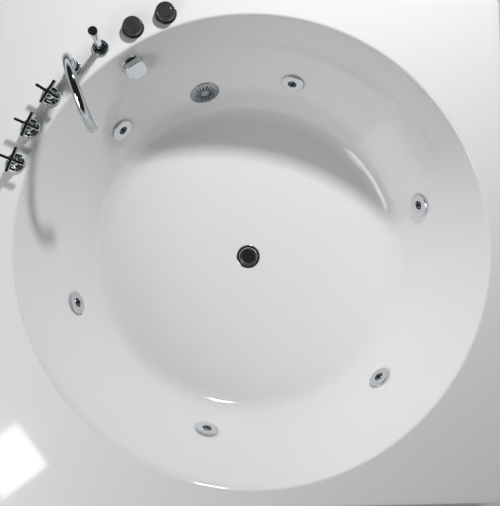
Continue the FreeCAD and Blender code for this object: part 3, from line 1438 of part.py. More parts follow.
def make_controls():
    base = -dim.control_length
    floor = base + 4
    flange = dim.control_flange_height
    top = dim.control_height
    stem_fit = dim.stem_radius + dim.running_gap
    ceiling = -dim.stem_radius
    valve = turned("air_valve_turned", [
        (stem_fit, ceiling),
        (dim.control_bore, ceiling),
        (dim.control_bore, floor),
        (dim.air_bore, floor),
        (dim.air_bore, base - regulator_spigot),
        (dim.air_radius, base - regulator_spigot),
        (dim.air_radius, base),
        (dim.control_barrel, base),
        (dim.control_barrel, 0),
        (dim.control_flange, 0),
        (dim.control_flange, flange - dim.edge_break),
        (dim.control_flange - dim.edge_break, flange),
        (stem_fit, flange)], air_place)
    valve.Label = "air_valve"
    keep(valve)
    low = flange + dim.seat_gap
    vane_top = dim.control_length / -2
    keep(turned("air_knob", [
        (0, vane_top - 4),
        (dim.control_bore - dim.seat_gap, vane_top - 4),
        (dim.control_bore - dim.seat_gap, vane_top),
        (dim.stem_radius, vane_top),
        (dim.stem_radius, low),
        (dim.control_cap, low),
        (dim.control_cap, top - dim.edge_break),
        (dim.control_cap - dim.edge_break, top),
        (dim.button_radius, top),
        (dim.button_radius, top - dim.edge_break),
        (dim.control_bore, top - dim.edge_break),
        (dim.control_bore, top),
        (0, top)], air_place))

    ring_top = top - 1
    ring_bore = dim.button_radius + dim.seat_gap
    keep(turned("button_housing", [
        (dim.signal_radius, floor),
        (dim.signal_radius, base - dim.control_bore / 2),
        (dim.control_spigot, base - dim.control_bore / 2),
        (dim.control_spigot, base),
        (dim.control_barrel, base),
        (dim.control_barrel, 0),
        (dim.control_flange, 0),
        (dim.control_flange, flange - dim.edge_break),
        (dim.control_flange - dim.edge_break, flange),
        (dim.control_cap, flange),
        (dim.control_cap, ring_top - dim.edge_break),
        (dim.control_cap - dim.edge_break, ring_top),
        (ring_bore, ring_top),
        (ring_bore, flange),
        (dim.control_bore, flange),
        (dim.control_bore, floor)], button_place))
    cap_top = ring_top + dim.button_proud
    cap_low = ring_top / 2
    piston_top = -dim.control_bore
    keep(turned("power_button", [
        (0, piston_top - 6),
        (dim.piston_radius, piston_top - 6),
        (dim.piston_radius, piston_top),
        (dim.button_stem, piston_top),
        (dim.button_stem, cap_low),
        (dim.button_radius, cap_low),
        (dim.button_radius, cap_top - dim.edge_break),
        (dim.button_radius - dim.edge_break, cap_top),
        (0, cap_top)], button_place))

    back = frame_half - dim.tube_side / 2
    box_place = Place(0, back - dim.box_depth / 2, dim.box_base)
    wall = 2 * dim.box_wall
    keep(cut("control_box", box("control_case", dim.box_length, dim.box_depth, dim.box_height,
                                box_place),
             [box("control_room", dim.box_length - wall, dim.box_depth - wall,
                  dim.box_height - wall, box_place.shifted(0, 0, dim.box_wall))]))


def make_button_tube():
    """Thin air tube from the button to the control box, laid behind the basin."""
    spigot = button_place.shifted(0, 0, -(dim.control_length + dim.control_bore / 2)).point()
    box_top = dim.box_base.value + dim.box_height.value
    box_y = frame_half.value - dim.tube_side.value / 2 - dim.box_depth.value / 2
    end = FreeCAD.Vector(-dim.box_length.value / 3, box_y, box_top)
    points = [
        spigot,
        spigot - FreeCAD.Vector(0, 0, dim.control_length.value * 3 / 4),
        behind_basin(-0.457, 0.970, 0.733),
        behind_basin(-0.346, 1.000, 0.708),
        behind_basin(-0.229, 0.994, 0.692),
        behind_basin(-0.132, 0.976, 0.642),
        end + FreeCAD.Vector(0, 0, dim.box_depth.value * 5 / 6),
        end,
    ]
    keep(pipe("button_tube", points, natural_bends(points), dim.signal_radius.value))


# ---------------------------------------------------------------------------------------------
# Taps, spout and hand shower
# ---------------------------------------------------------------------------------------------
def make_taps():
    bonnets = []
    stem_bore = dim.stem_radius + dim.running_gap
    barrels = []
    bores = []
    hub_low = dim.bonnet_height + dim.seat_gap
    bar_low = dim.cross_top - dim.cross_bar
    for name, place, turn in zip(TAPS, tap_places, CROSS_TURNS):
        bonnets.append(turned(f"{name}_bonnet", [
            (stem_bore, 0),
            (dim.bonnet_radius, 0),
            (dim.bonnet_radius, dim.bonnet_step - 2 * dim.edge_break),
            (dim.bonnet_radius - 2 * dim.edge_break, dim.bonnet_step),
            (dim.bonnet_shoulder, dim.bonnet_step),
            (dim.bonnet_neck, dim.bonnet_height - dim.edge_break),
            (dim.bonnet_neck - dim.edge_break, dim.bonnet_height),
            (stem_bore, dim.bonnet_height)], place))
        barrels.append(turned(f"{name}_barrel", [
            (stem_bore, 0),
            (dim.valve_radius, 0),
            (dim.valve_radius, -dim.valve_length),
            (dim.inlet_thread, -dim.valve_length),
            (dim.inlet_thread, -dim.valve_length - dim.inlet_tail),
            (dim.link_radius / 2, -dim.valve_length - dim.inlet_tail),
            (dim.link_radius / 2, -dim.stem_length - 2),
            (stem_bore, -dim.stem_length - 2)], place))
        bores.append(cylinder(f"{name}_way", stem_bore, dim.stem_length + 3,
                              place.shifted(0, 0, -dim.stem_length - 2)))
        turned_place = Place(place.x, place.y, place.z, turn)
        stem = cylinder(f"{name}_stem", dim.stem_radius, dim.stem_length + hub_low + 1,
                        Place(z=-dim.stem_length))
        hub = cylinder(f"{name}_hub", dim.hub_radius, dim.cross_top - hub_low, Place(z=hub_low))
        bars = [box(f"{name}_bar_{yaw}", dim.cross_span, dim.cross_bar, dim.cross_bar,
                    Place(z=bar_low, yaw=yaw)) for yaw in (0, 90)]
        keep(fuse(name, [stem, hub] + bars, turned_place))
    keep(group("valve_bonnets", bonnets))

    height = dim.deck_height - dim.link_depth
    links = []
    shank_side = angle_of_chord(dim.spout_shank + dim.seat_gap, dim.fitting_circle)
    start = dim.spout_azimuth + shank_side
    links.append(ring_pipe("tap_link", dim.fitting_circle - 2 * dim.tap_drift, dim.link_radius,
                           height, start, tap_azimuths[-1] - start))
    keep(cut("mixer_body", fuse("mixer_blank", barrels + links), bores))


def make_spout():
    """Swivelling arch: straight rise, half circle and straight drop, on a turned foot."""
    collar_low = dim.spout_flange_height + dim.seat_gap
    bend = dim.spout_reach.value / 2
    rise = dim.spout_rise.value
    low = collar_low.value
    top = FreeCAD.Vector(bend, 0, rise + bend)
    path = Part.Wire([
        Part.LineSegment(FreeCAD.Vector(0, 0, low), FreeCAD.Vector(0, 0, rise)).toShape(),
        Part.Arc(FreeCAD.Vector(0, 0, rise), top, FreeCAD.Vector(2 * bend, 0, rise)).toShape(),
        Part.LineSegment(FreeCAD.Vector(2 * bend, 0, rise),
                         FreeCAD.Vector(2 * bend, 0, dim.spout_tip.value)).toShape()])

    def swept(radius):
        section = Part.Wire([Part.makeCircle(radius, FreeCAD.Vector(0, 0, low))])
        return path.makePipeShell([section], True, False)

    arch = shaped("spout_arch", swept(dim.spout_radius.value))
    arch_bore = shaped("spout_arch_bore", swept(dim.spout_bore.value))
    collar = cylinder("spout_collar_ring", dim.spout_collar, dim.spout_collar_height,
                      Place(z=collar_low))
    pivot_low = collar_low - dim.spout_pivot_length
    pivot = cylinder("spout_pivot_foot", dim.spout_pivot, dim.spout_pivot_length + 1,
                     Place(z=pivot_low))
    pivot_bore = cylinder("spout_pivot_bore", dim.spout_pivot - 2, dim.spout_pivot_length + 2,
                          Place(z=pivot_low - 1))
    keep(cut("spout", fuse("spout_blank", [arch, collar, pivot]), [arch_bore, pivot_bore],
             spout_place))
    socket = dim.spout_pivot + dim.running_gap
    top = dim.spout_flange_height
    keep(turned("spout_base", [
        (socket, -dim.valve_length),
        (dim.spout_shank, -dim.valve_length),
        (dim.spout_shank, 0),
        (dim.spout_flange, 0),
        (dim.spout_flange, top - 2 * dim.edge_break),
        (dim.spout_flange - 2 * dim.edge_break, top),
        (socket, top)], spout_place))


def make_hand_shower():
    guide = dim.wand_radius + dim.seat_gap
    sleeve_bore = dim.sleeve_radius - dim.sleeve_wall
    flange_top = dim.shower_flange_height
    keep(turned("shower_socket", [
        (guide, -dim.sleeve_wall * 2),
        (sleeve_bore, -dim.sleeve_wall * 2),
        (sleeve_bore, -dim.sleeve_length),
        (dim.sleeve_radius, -dim.sleeve_length),
        (dim.sleeve_radius, 0),
        (dim.shower_flange, 0),
        (dim.shower_flange, flange_top - 2 * dim.edge_break),
        (dim.shower_flange - 2 * dim.edge_break, flange_top),
        (guide, flange_top)], shower_place))
    head_low = dim.wand_top - dim.wand_head_height
    foot = -dim.wand_foot
    keep(turned("hand_shower", [
        (0, foot - dim.ferrule_length),
        (dim.ferrule_radius, foot - dim.ferrule_length),
        (dim.ferrule_radius, foot - dim.edge_break),
        (dim.wand_radius, foot),
        (dim.wand_radius, head_low - dim.wand_head / 2),
        (dim.wand_head, head_low),
        (dim.wand_head, dim.wand_top - dim.edge_break),
        (dim.wand_head - dim.edge_break, dim.wand_top),
        (0, dim.wand_top)], shower_place))
    riser_top = foot - dim.ferrule_length
    riser_low = -dim.sleeve_length + dim.seat_gap
    keep(cylinder("shower_riser", dim.shower_hose_radius, riser_top - riser_low,
                  shower_place.shifted(0, 0, riser_low)))

    start = shower_place.shifted(0, 0, -dim.sleeve_length).point()
    tail = dim.valve_length + dim.inlet_tail
    end = tap_places[1].shifted(0, 0, -tail).point()
    points = [
        start,
        start - FreeCAD.Vector(0, 0, dim.sleeve_length.value / 6),
        behind_basin(-0.679, 0.870, 0.370),
        behind_basin(-0.759, 0.903, 0.347),
        behind_basin(-0.853, 0.875, 0.343),
        behind_basin(-0.920, 0.789, 0.357),
        behind_basin(-0.953, 0.684, 0.390),
        behind_basin(-0.950, 0.579, 0.460),
        behind_basin(-0.917, 0.507, 0.567),
        end - FreeCAD.Vector(0, 0, dim.sleeve_length.value / 5),
        end,
    ]
    keep(pipe("shower_hose", points, natural_bends(points), dim.shower_hose_radius.value))


# ---------------------------------------------------------------------------------------------
# Build, check and write
# ---------------------------------------------------------------------------------------------
make_tub_shell()
make_floor_board()
make_base_frame()
make_levelling_feet()
make_aprons()
make_waste()
make_overflow()
make_waste_lines()
make_jets()
make_water_manifold()
make_air_manifold()
make_gaskets()
make_backing_nuts()
make_suction()
make_motor()
make_rotor()
make_pump_housing()
make_pump_mount()
make_controls()
make_button_tube()
make_taps()
make_spout()
make_hand_shower()
doc.recompute()

faults = []
for thing in doc.Objects:
    if "Invalid" in thing.State or "Error" in thing.State:
        faults.append(f"{thing.Label}: {thing.State}")
for node in nodes:
    if node.Shape.isNull() or not node.Shape.isValid() or not node.Shape.Solids:
        faults.append(f"{node.Label}: bad shape")
if faults:
    sys.exit("\n".join(faults))

os.makedirs("parts", exist_ok=True)
for node in nodes:
    node.Shape.exportStep(f"parts/{node.Label}.step")
print(f"{len(nodes)} sub-parts written")
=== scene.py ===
# %% [markdown]
# # A square jetted bathtub, seen from above
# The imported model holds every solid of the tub. It is loaded as a fixed frame, and the lesson then gives
# each piece the surface and the finish of the real one. The frame is in metres, +Z is up, and the origin
# lies on the floor under the middle of the deck. The numbers that shape the pieces are in millimetres.

# %% Load the frame
import bpy
import bmesh
import json
import math
import numpy as np
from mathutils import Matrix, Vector


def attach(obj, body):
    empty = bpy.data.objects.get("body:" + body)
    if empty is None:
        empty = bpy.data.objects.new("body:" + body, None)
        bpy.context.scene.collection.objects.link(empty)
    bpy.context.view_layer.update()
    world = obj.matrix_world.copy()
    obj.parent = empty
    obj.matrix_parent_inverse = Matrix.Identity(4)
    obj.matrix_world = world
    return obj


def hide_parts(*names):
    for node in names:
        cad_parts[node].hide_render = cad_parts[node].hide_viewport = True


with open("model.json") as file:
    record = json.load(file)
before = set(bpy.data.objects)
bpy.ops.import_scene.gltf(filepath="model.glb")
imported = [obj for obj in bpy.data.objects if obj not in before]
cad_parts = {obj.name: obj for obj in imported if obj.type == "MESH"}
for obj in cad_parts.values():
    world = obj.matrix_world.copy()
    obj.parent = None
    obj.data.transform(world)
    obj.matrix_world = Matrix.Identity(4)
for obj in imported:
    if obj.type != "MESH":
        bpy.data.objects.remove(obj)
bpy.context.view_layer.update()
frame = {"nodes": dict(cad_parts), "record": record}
nodes = frame["nodes"]
body_of_node = {name: body for body, names in frame["record"]["behaviour"]["bodies"].items()
                for name in names}
slot_of_node = {part["node"]: part["material_slot"] for part in frame["record"]["subparts"]}

# %% [markdown]
# ## Camera
# The photograph is taken from almost straight above the middle of the tub. With the place, the small tilt
# and the lens below, the rim, the six jets and the fittings on the corner line up with it. The deck's edges
# fall just outside the picture, apart from a short stretch at the lower right. The picture is a little
# taller than it is wide, so the sensor's 36 mm lie along its height.

# %% Camera
LENS, SENSOR = 55.04, 36.0
CAMERA_PLACE = (-0.1103, -0.1749, 2.850)
CAMERA_ANGLES = (4.00, -2.43, -0.61)
camera_data = bpy.data.cameras.new("overhead_camera")
camera_data.lens = LENS
camera_data.sensor_width = SENSOR
camera_data.clip_start = 0.05
camera = bpy.data.objects.new("overhead_camera", camera_data)
bpy.context.scene.collection.objects.link(camera)
camera.location = CAMERA_PLACE
camera.rotation_euler = [math.radians(angle) for angle in CAMERA_ANGLES]
bpy.context.scene.camera = camera
bpy.context.scene.view_settings.view_transform = "Standard"
print("camera at", tuple(camera.location))

# %% [markdown]
# ## Light and surroundings
# The rim's shadow lies on the floor as a crescent, and the taps and the spout throw theirs to the lower left.
# One small lamp behind the tub gives both. The crescent's ends and its depth give the lamp's direction, a
# little over 46 degrees up from the middle of the floor. Distances of 2 to 3 m fit about equally well, and
# 2.8 m was chosen. A wide lamp on the left stands for a pale wall, and a small square one is what the deck's
# corner mirrors. Polished metal shows a dim room: its upright sides are bright and its flat tops are dark,
# so what metal reflects is graded from the horizon towards the zenith.

# %% World
DIM_OVERHEAD = (0.025, 0.023, 0.020, 1.0)
PALE_HORIZON = (0.86, 0.90, 0.94, 1.0)
EVEN_FILL = (0.94, 0.94, 0.93, 1.0)
PALE_BACKDROP = (0.92, 0.92, 0.92, 1.0)
FILL_STRENGTH = 0.13
GRADE_START, GRADE_END = 0.10, 0.42


def add_node(tree, kind, **values):
    """A node of that kind; each named value goes to an attribute, or to the input socket of that name."""
    node = tree.nodes.new(kind)
    for name, value in values.items():
        socket = node.inputs.get(name.replace("_", " "))
        if socket is not None:
            socket.default_value = value
        else:
            setattr(node, name, value)
    return node


world = bpy.data.worlds.new("bathroom")
bpy.context.scene.world = world
world.use_nodes = True
tree = world.node_tree
tree.nodes.clear()
place = add_node(tree, "ShaderNodeTexCoord")
split = add_node(tree, "ShaderNodeSeparateXYZ")
grade = add_node(tree, "ShaderNodeValToRGB")
grade.color_ramp.elements[0].position = GRADE_START
grade.color_ramp.elements[0].color = PALE_HORIZON
grade.color_ramp.elements[1].position = GRADE_END
grade.color_ramp.elements[1].color = DIM_OVERHEAD
seen = add_node(tree, "ShaderNodeLightPath")
fill = add_node(tree, "ShaderNodeMix", data_type="RGBA")
fill.inputs["A"].default_value = EVEN_FILL
backdrop = add_node(tree, "ShaderNodeMix", data_type="RGBA")
backdrop.inputs["B"].default_value = PALE_BACKDROP
strength = add_node(tree, "ShaderNodeMapRange")
strength.inputs["To Min"].default_value = FILL_STRENGTH
strength.inputs["To Max"].default_value = 1.0
light = add_node(tree, "ShaderNodeBackground")
end = add_node(tree, "ShaderNodeOutputWorld")
direct = add_node(tree, "ShaderNodeMath", operation="MAXIMUM")
tree.links.new(place.outputs["Generated"], split.inputs[0])
tree.links.new(split.outputs["Z"], grade.inputs["Fac"])
tree.links.new(seen.outputs["Is Glossy Ray"], fill.inputs["Factor"])
tree.links.new(grade.outputs["Color"], fill.inputs["B"])
tree.links.new(fill.outputs["Result"], backdrop.inputs["A"])
tree.links.new(seen.outputs["Is Camera Ray"], backdrop.inputs["Factor"])
tree.links.new(seen.outputs["Is Glossy Ray"], direct.inputs[0])
tree.links.new(seen.outputs["Is Camera Ray"], direct.inputs[1])
tree.links.new(direct.outputs[0], strength.inputs["Value"])
tree.links.new(backdrop.outputs["Result"], light.inputs["Color"])
tree.links.new(strength.outputs["Result"], light.inputs["Strength"])
tree.links.new(light.outputs["Background"], end.inputs["Surface"])

# %% Lamps


def area_lamp(name, at, towards, size, power):
    """A white rectangular lamp at a point, turned to face another point; size in metres, power in watts."""
    data = bpy.data.lights.new(name, "AREA")
    data.shape = "RECTANGLE"
    data.size, data.size_y = size
    data.energy = power
    lamp = bpy.data.objects.new(name, data)
    bpy.context.scene.collection.objects.link(lamp)
    lamp.location = at
    lamp.rotation_mode = "QUATERNION"
    lamp.rotation_quaternion = (Vector(towards) - Vector(at)).to_track_quat("-Z", "Y")


area_lamp("window", at=(0.46, 1.85, 2.17), towards=(-0.1, -0.2, 0.5), size=(0.20, 0.18), power=42.0)
area_lamp("left_wall", at=(-1.9, -1.1, 1.9), towards=(-0.3, -0.3, 0.5), size=(1.2, 1.2), power=22.0)
area_lamp("small_window", at=(-1.29, -1.03, 2.85), towards=(-0.70, -0.60, 0.60), size=(0.30, 0.30), power=2.2)
print("lamps", [item.name for item in bpy.data.lights])

# %% Floor
floor_mesh = bpy.data.meshes.new("bathroom_floor")
FLOOR_REACH = 6.0
corners = [(x * FLOOR_REACH, y * FLOOR_REACH, 0) for x, y in ((-1, -1), (1, -1), (1, 1), (-1, 1))]
floor_mesh.from_pydata(corners, [], [(0, 1, 2, 3)])
floor = bpy.data.objects.new("bathroom_floor", floor_mesh)
bpy.context.scene.collection.objects.link(floor)

# %% [markdown]
# ## Finishes
# Every finish is a Principled material. Its colour, its roughness and, where it has one, its bump come from
# noise on Object coordinates. Three effects are shared, so each is a node group: a slow drift of colour, the
# faint marks that wiping and water leave in a gloss, and a fine relief for the bump.

# %% Shared effects


def shader_group(name, inputs, outputs):
    """An empty node group with named sockets; returns it with its input and output nodes."""
    group = bpy.data.node_groups.new(name, "ShaderNodeTree")
    for socket, kind, value in inputs:
        made = group.interface.new_socket(name=socket, in_out="INPUT", socket_type=kind)
        if value is not None:
            made.default_value = value
    for socket, kind in outputs:
        group.interface.new_socket(name=socket, in_out="OUTPUT", socket_type=kind)
    return group, group.nodes.new("NodeGroupInput"), group.nodes.new("NodeGroupOutput")


COLOUR, NUMBER, POINT = "NodeSocketColor", "NodeSocketFloat", "NodeSocketVector"


def colour_drift_group():
    """Two tones mixed by slow noise: colour = mix(first, second, noise(scale x position))."""
    group, start, end = shader_group("colour_drift", [
        ("Position", POINT, None), ("First", COLOUR, (0.8, 0.8, 0.8, 1)),
        ("Second", COLOUR, (0.7, 0.7, 0.7, 1)), ("Scale", NUMBER, 3.0)], [("Colour", COLOUR)])
    cloud = add_node(group, "ShaderNodeTexNoise", Detail=4.0, Roughness=0.55)
    wider = add_node(group, "ShaderNodeMapRange", From_Min=0.3, From_Max=0.7)
    mix = add_node(group, "ShaderNodeMix", data_type="RGBA")
    group.links.new(start.outputs["Position"], cloud.inputs["Vector"])
    group.links.new(start.outputs["Scale"], cloud.inputs["Scale"])
    group.links.new(cloud.outputs["Fac"], wider.inputs["Value"])
    group.links.new(wider.outputs["Result"], mix.inputs["Factor"])
    group.links.new(start.outputs["First"], mix.inputs["A"])
    group.links.new(start.outputs["Second"], mix.inputs["B"])
    group.links.new(mix.outputs["Result"], end.inputs["Colour"])
    return group


def wiped_gloss_group():
    """Roughness between two values: broad wiping marks plus a few small dried drops."""
    group, start, end = shader_group("wiped_gloss", [
        ("Position", POINT, None), ("Clean", NUMBER, 0.06), ("Worn", NUMBER, 0.16), ("Scale", NUMBER, 8.0)],
        [("Roughness", NUMBER)])
    wipe = add_node(group, "ShaderNodeTexNoise", Detail=5.0, Roughness=0.6, Distortion=0.6)
    drops = add_node(group, "ShaderNodeTexVoronoi", feature="F1")
    finer = add_node(group, "ShaderNodeMath", operation="MULTIPLY")
    finer.inputs[1].default_value = 9.0
    ring = add_node(group, "ShaderNodeMapRange", From_Min=0.10, From_Max=0.16, To_Min=0.5, To_Max=0.0)
    broad = add_node(group, "ShaderNodeMapRange", From_Min=0.35, From_Max=0.75)
    total = add_node(group, "ShaderNodeMath", operation="ADD", use_clamp=True)
    mix = add_node(group, "ShaderNodeMix", data_type="FLOAT")
    group.links.new(start.outputs["Position"], wipe.inputs["Vector"])
    group.links.new(start.outputs["Scale"], wipe.inputs["Scale"])
    group.links.new(start.outputs["Position"], drops.inputs["Vector"])
    group.links.new(start.outputs["Scale"], finer.inputs[0])
    group.links.new(finer.outputs[0], drops.inputs["Scale"])
    group.links.new(drops.outputs["Distance"], ring.inputs["Value"])
    group.links.new(wipe.outputs["Fac"], broad.inputs["Value"])
    group.links.new(ring.outputs["Result"], total.inputs[0])
    group.links.new(broad.outputs["Result"], total.inputs[1])
    group.links.new(total.outputs[0], mix.inputs["Factor"])
    group.links.new(start.outputs["Clean"], mix.inputs["A"])
    group.links.new(start.outputs["Worn"], mix.inputs["B"])
    group.links.new(mix.outputs["Result"], end.inputs["Roughness"])
    return group


def fine_relief_group():
    """Height = noise at one scale plus a quarter of noise at four times that scale."""
    group, start, end = shader_group("fine_relief", [
        ("Position", POINT, None), ("Scale", NUMBER, 60.0)], [("Height", NUMBER)])
    coarse = add_node(group, "ShaderNodeTexNoise", Detail=2.0)
    fine = add_node(group, "ShaderNodeTexNoise", Detail=2.0)
    four = add_node(group, "ShaderNodeMath", operation="MULTIPLY")
    four.inputs[1].default_value = 4.0
    quarter = add_node(group, "ShaderNodeMath", operation="MULTIPLY_ADD")
    quarter.inputs[1].default_value = 0.25
    group.links.new(start.outputs["Position"], coarse.inputs["Vector"])
    group.links.new(start.outputs["Position"], fine.inputs["Vector"])
    group.links.new(start.outputs["Scale"], coarse.inputs["Scale"])
    group.links.new(start.outputs["Scale"], four.inputs[0])
    group.links.new(four.outputs[0], fine.inputs["Scale"])
    group.links.new(fine.outputs["Fac"], quarter.inputs[0])
    group.links.new(coarse.outputs["Fac"], quarter.inputs[2])
    group.links.new(quarter.outputs[0], end.inputs["Height"])
    return group


colour_drift = colour_drift_group()
wiped_gloss = wiped_gloss_group()
fine_relief = fine_relief_group()
print("groups", [group.name for group in bpy.data.node_groups])

# %% One maker for the finishes


def finish_of(name, first, second, gloss, metal=0.0, drift=3.0, wiping=8.0, relief=(60.0, 0.0), coat=0.0,
              stretch=(1.0, 1.0, 1.0), **shader_values):
    """A Principled material: drifting colour, wiped gloss and a fine bump, all on Object coordinates."""
    material = bpy.data.materials.new(name)
    material.use_nodes = True
    tree = material.node_tree
    shader = tree.nodes["Principled BSDF"]
    shader.inputs["Metallic"].default_value = metal
    shader.inputs["Coat Weight"].default_value = coat
    for socket, value in shader_values.items():
        shader.inputs[socket.replace("_", " ")].default_value = value
    where = add_node(tree, "ShaderNodeTexCoord")
    mapping = add_node(tree, "ShaderNodeMapping")
    mapping.inputs["Scale"].default_value = stretch
    tree.links.new(where.outputs["Object"], mapping.inputs["Vector"])
    colour = add_node(tree, "ShaderNodeGroup", node_tree=colour_drift)
    colour.inputs["First"].default_value = (*first, 1.0)
    colour.inputs["Second"].default_value = (*second, 1.0)
    colour.inputs["Scale"].default_value = drift
    rough = add_node(tree, "ShaderNodeGroup", node_tree=wiped_gloss)
    rough.inputs["Clean"].default_value = gloss[0]
    rough.inputs["Worn"].default_value = gloss[1]
    rough.inputs["Scale"].default_value = wiping
    for effect in (colour, rough):
        tree.links.new(mapping.outputs["Vector"], effect.inputs["Position"])
    tree.links.new(colour.outputs["Colour"], shader.inputs["Base Color"])
    tree.links.new(rough.outputs["Roughness"], shader.inputs["Roughness"])
    if relief[1] > 0:
        height = add_node(tree, "ShaderNodeGroup", node_tree=fine_relief)
        height.inputs["Scale"].default_value = relief[0]
        bump = add_node(tree, "ShaderNodeBump")
        bump.inputs["Strength"].default_value = 1.0
        bump.inputs["Distance"].default_value = relief[1]
        tree.links.new(mapping.outputs["Vector"], height.inputs["Position"])
        tree.links.new(height.outputs["Height"], bump.inputs["Height"])
        tree.links.new(bump.outputs["Normal"], shader.inputs["Normal"])
    return material


finishes = {
    "acrylic": finish_of("polished_acrylic", (0.915, 0.920, 0.915), (0.905, 0.911, 0.906), (0.05, 0.11),
                         drift=1.2, wiping=3.0, relief=(45.0, 0.00002), coat=0.35, Coat_Roughness=0.03),
    "apron": finish_of("apron_acrylic", (0.900, 0.905, 0.900), (0.888, 0.895, 0.890), (0.06, 0.14),
                       drift=1.0, wiping=4.0, relief=(40.0, 0.00003), coat=0.3, Coat_Roughness=0.04),
    "tap_chrome": finish_of("tap_chrome", (0.58, 0.61, 0.63), (0.53, 0.56, 0.58), (0.03, 0.08), metal=1.0,
                            drift=20.0, wiping=40.0),
    "knob_chrome": finish_of("black_chrome", (0.055, 0.054, 0.050), (0.045, 0.044, 0.041), (0.12, 0.20),
                             drift=20.0, wiping=40.0, Specular_IOR_Level=0.9),
    "overflow_chrome": finish_of("overflow_chrome", (0.70, 0.73, 0.75), (0.64, 0.67, 0.70), (0.04, 0.10),
                                 metal=1.0, drift=20.0, wiping=40.0),
    "shower_chrome": finish_of("shower_chrome", (0.74, 0.80, 0.85), (0.70, 0.75, 0.80), (0.05, 0.10),
                               metal=1.0, drift=20.0, wiping=40.0),
    "waste_chrome": finish_of("waste_chrome", (0.78, 0.79, 0.80), (0.72, 0.73, 0.74), (0.04, 0.09), metal=1.0,
                              drift=20.0, wiping=40.0),
    "screw_chrome": finish_of("screw_chrome", (0.75, 0.75, 0.76), (0.68, 0.68, 0.70), (0.08, 0.16), metal=1.0,
                              drift=30.0, wiping=60.0),
    "satin_ring": finish_of("satin_ring", (0.60, 0.62, 0.63), (0.54, 0.56, 0.57), (0.20, 0.30), metal=1.0,
                            drift=25.0, wiping=30.0, relief=(400.0, 0.00001)),
    "satin_trim": finish_of("satin_trim", (0.70, 0.72, 0.76), (0.68, 0.70, 0.74), (0.09, 0.13), metal=1.0,
                            drift=25.0, wiping=30.0),
    # The nozzle's dark colour is partly the eyeball's own dark metal and partly painted shade: it stands in
    # for the shaded gap round the eyeball and the dark bore inside it.
    "nozzle": finish_of("nozzle_metal_and_painted_shade", (0.16, 0.17, 0.18), (0.11, 0.12, 0.13), (0.12, 0.22), metal=1.0,
                        drift=40.0, wiping=60.0),
    "grille": finish_of("grille_metal", (0.34, 0.36, 0.39), (0.30, 0.32, 0.35), (0.16, 0.24), metal=1.0,
                        drift=25.0, wiping=30.0),
    "frame_steel": finish_of("powder_coated_steel", (0.50, 0.52, 0.54), (0.44, 0.46, 0.48), (0.35, 0.5),
                             drift=6.0, wiping=12.0, relief=(700.0, 0.00006)),
    "zinc": finish_of("zinc_plate", (0.62, 0.62, 0.60), (0.50, 0.51, 0.50), (0.28, 0.42), metal=1.0,
                      drift=60.0, wiping=40.0, relief=(300.0, 0.00003)),
    "board": finish_of("chipboard", (0.55, 0.41, 0.26), (0.36, 0.25, 0.15), (0.75, 0.9), drift=90.0,
                       wiping=30.0, relief=(160.0, 0.0004)),
    "pipe_white": finish_of("pipe_plastic", (0.74, 0.74, 0.71), (0.68, 0.68, 0.65), (0.28, 0.42), drift=8.0,
                            wiping=14.0, relief=(250.0, 0.00003)),
    "pipe_black": finish_of("moulded_fitting", (0.045, 0.046, 0.050), (0.065, 0.066, 0.070), (0.32, 0.45),
                            drift=12.0, wiping=20.0, relief=(500.0, 0.00004)),
    "hose_grey": finish_of("ribbed_hose", (0.33, 0.34, 0.36), (0.27, 0.28, 0.30), (0.35, 0.5), drift=10.0,
                           wiping=18.0, relief=(220.0, 0.0003)),
    "cable_sheath": finish_of("cable_sheath", (0.05, 0.05, 0.055), (0.08, 0.08, 0.085), (0.4, 0.55),
                              drift=30.0, wiping=30.0, relief=(600.0, 0.00005)),
    "gasket": finish_of("gasket_rubber", (0.030, 0.030, 0.030), (0.050, 0.050, 0.048), (0.6, 0.8), drift=30.0,
                        wiping=30.0, relief=(500.0, 0.0001)),
    "nut_plastic": finish_of("nut_plastic", (0.07, 0.07, 0.075), (0.10, 0.10, 0.105), (0.35, 0.5), drift=20.0,
                             wiping=24.0, relief=(500.0, 0.00005)),
    "pump_plastic": finish_of("pump_casing", (0.050, 0.050, 0.055), (0.075, 0.075, 0.080), (0.30, 0.45),
                              drift=10.0, wiping=16.0, relief=(450.0, 0.00005)),
    "motor_alloy": finish_of("cast_alloy", (0.52, 0.53, 0.54), (0.44, 0.45, 0.46), (0.38, 0.52), metal=1.0,
                             drift=25.0, wiping=30.0, relief=(600.0, 0.00012)),
    "rotor_steel": finish_of("turned_steel", (0.55, 0.55, 0.56), (0.48, 0.48, 0.49), (0.22, 0.35), metal=1.0,
                             drift=20.0, wiping=40.0, relief=(80.0, 0.00002), stretch=(12.0, 1.0, 1.0)),
    "pump_rubber": finish_of("pump_foot_rubber", (0.040, 0.040, 0.042), (0.060, 0.060, 0.060), (0.55, 0.75),
                             drift=20.0, wiping=24.0, relief=(400.0, 0.0001)),
    "brass": finish_of("raw_brass", (0.62, 0.47, 0.22), (0.52, 0.38, 0.17), (0.30, 0.45), metal=1.0,
                       drift=30.0, wiping=30.0, relief=(500.0, 0.0001)),
    "box_plastic": finish_of("box_plastic", (0.72, 0.72, 0.70), (0.68, 0.68, 0.66), (0.35, 0.5), drift=6.0,
                             wiping=12.0, relief=(500.0, 0.00006)),
    "braid": finish_of("braided_steel", (0.60, 0.61, 0.62), (0.42, 0.43, 0.44), (0.25, 0.4), metal=1.0,
                       drift=400.0, wiping=60.0, relief=(500.0, 0.0002)),
}
floor_mesh.materials.append(finish_of("floor_tile", (0.80, 0.80, 0.79), (0.79, 0.79, 0.78), (0.65, 0.72),
                                      drift=1.5, wiping=2.0))
print("finishes", len(finishes))

# %% [markdown]
# ## Building surfaces from arrays
# A surface is a grid of points: one direction runs along a profile and the other round an axis or along a
# path. The helpers below turn such a grid into a closed mesh, round the corners of a profile, swing it round
# an axis, and join or cut the meshes.

# %% Grid to mesh


MM = 0.001
SHARP = math.radians(32)
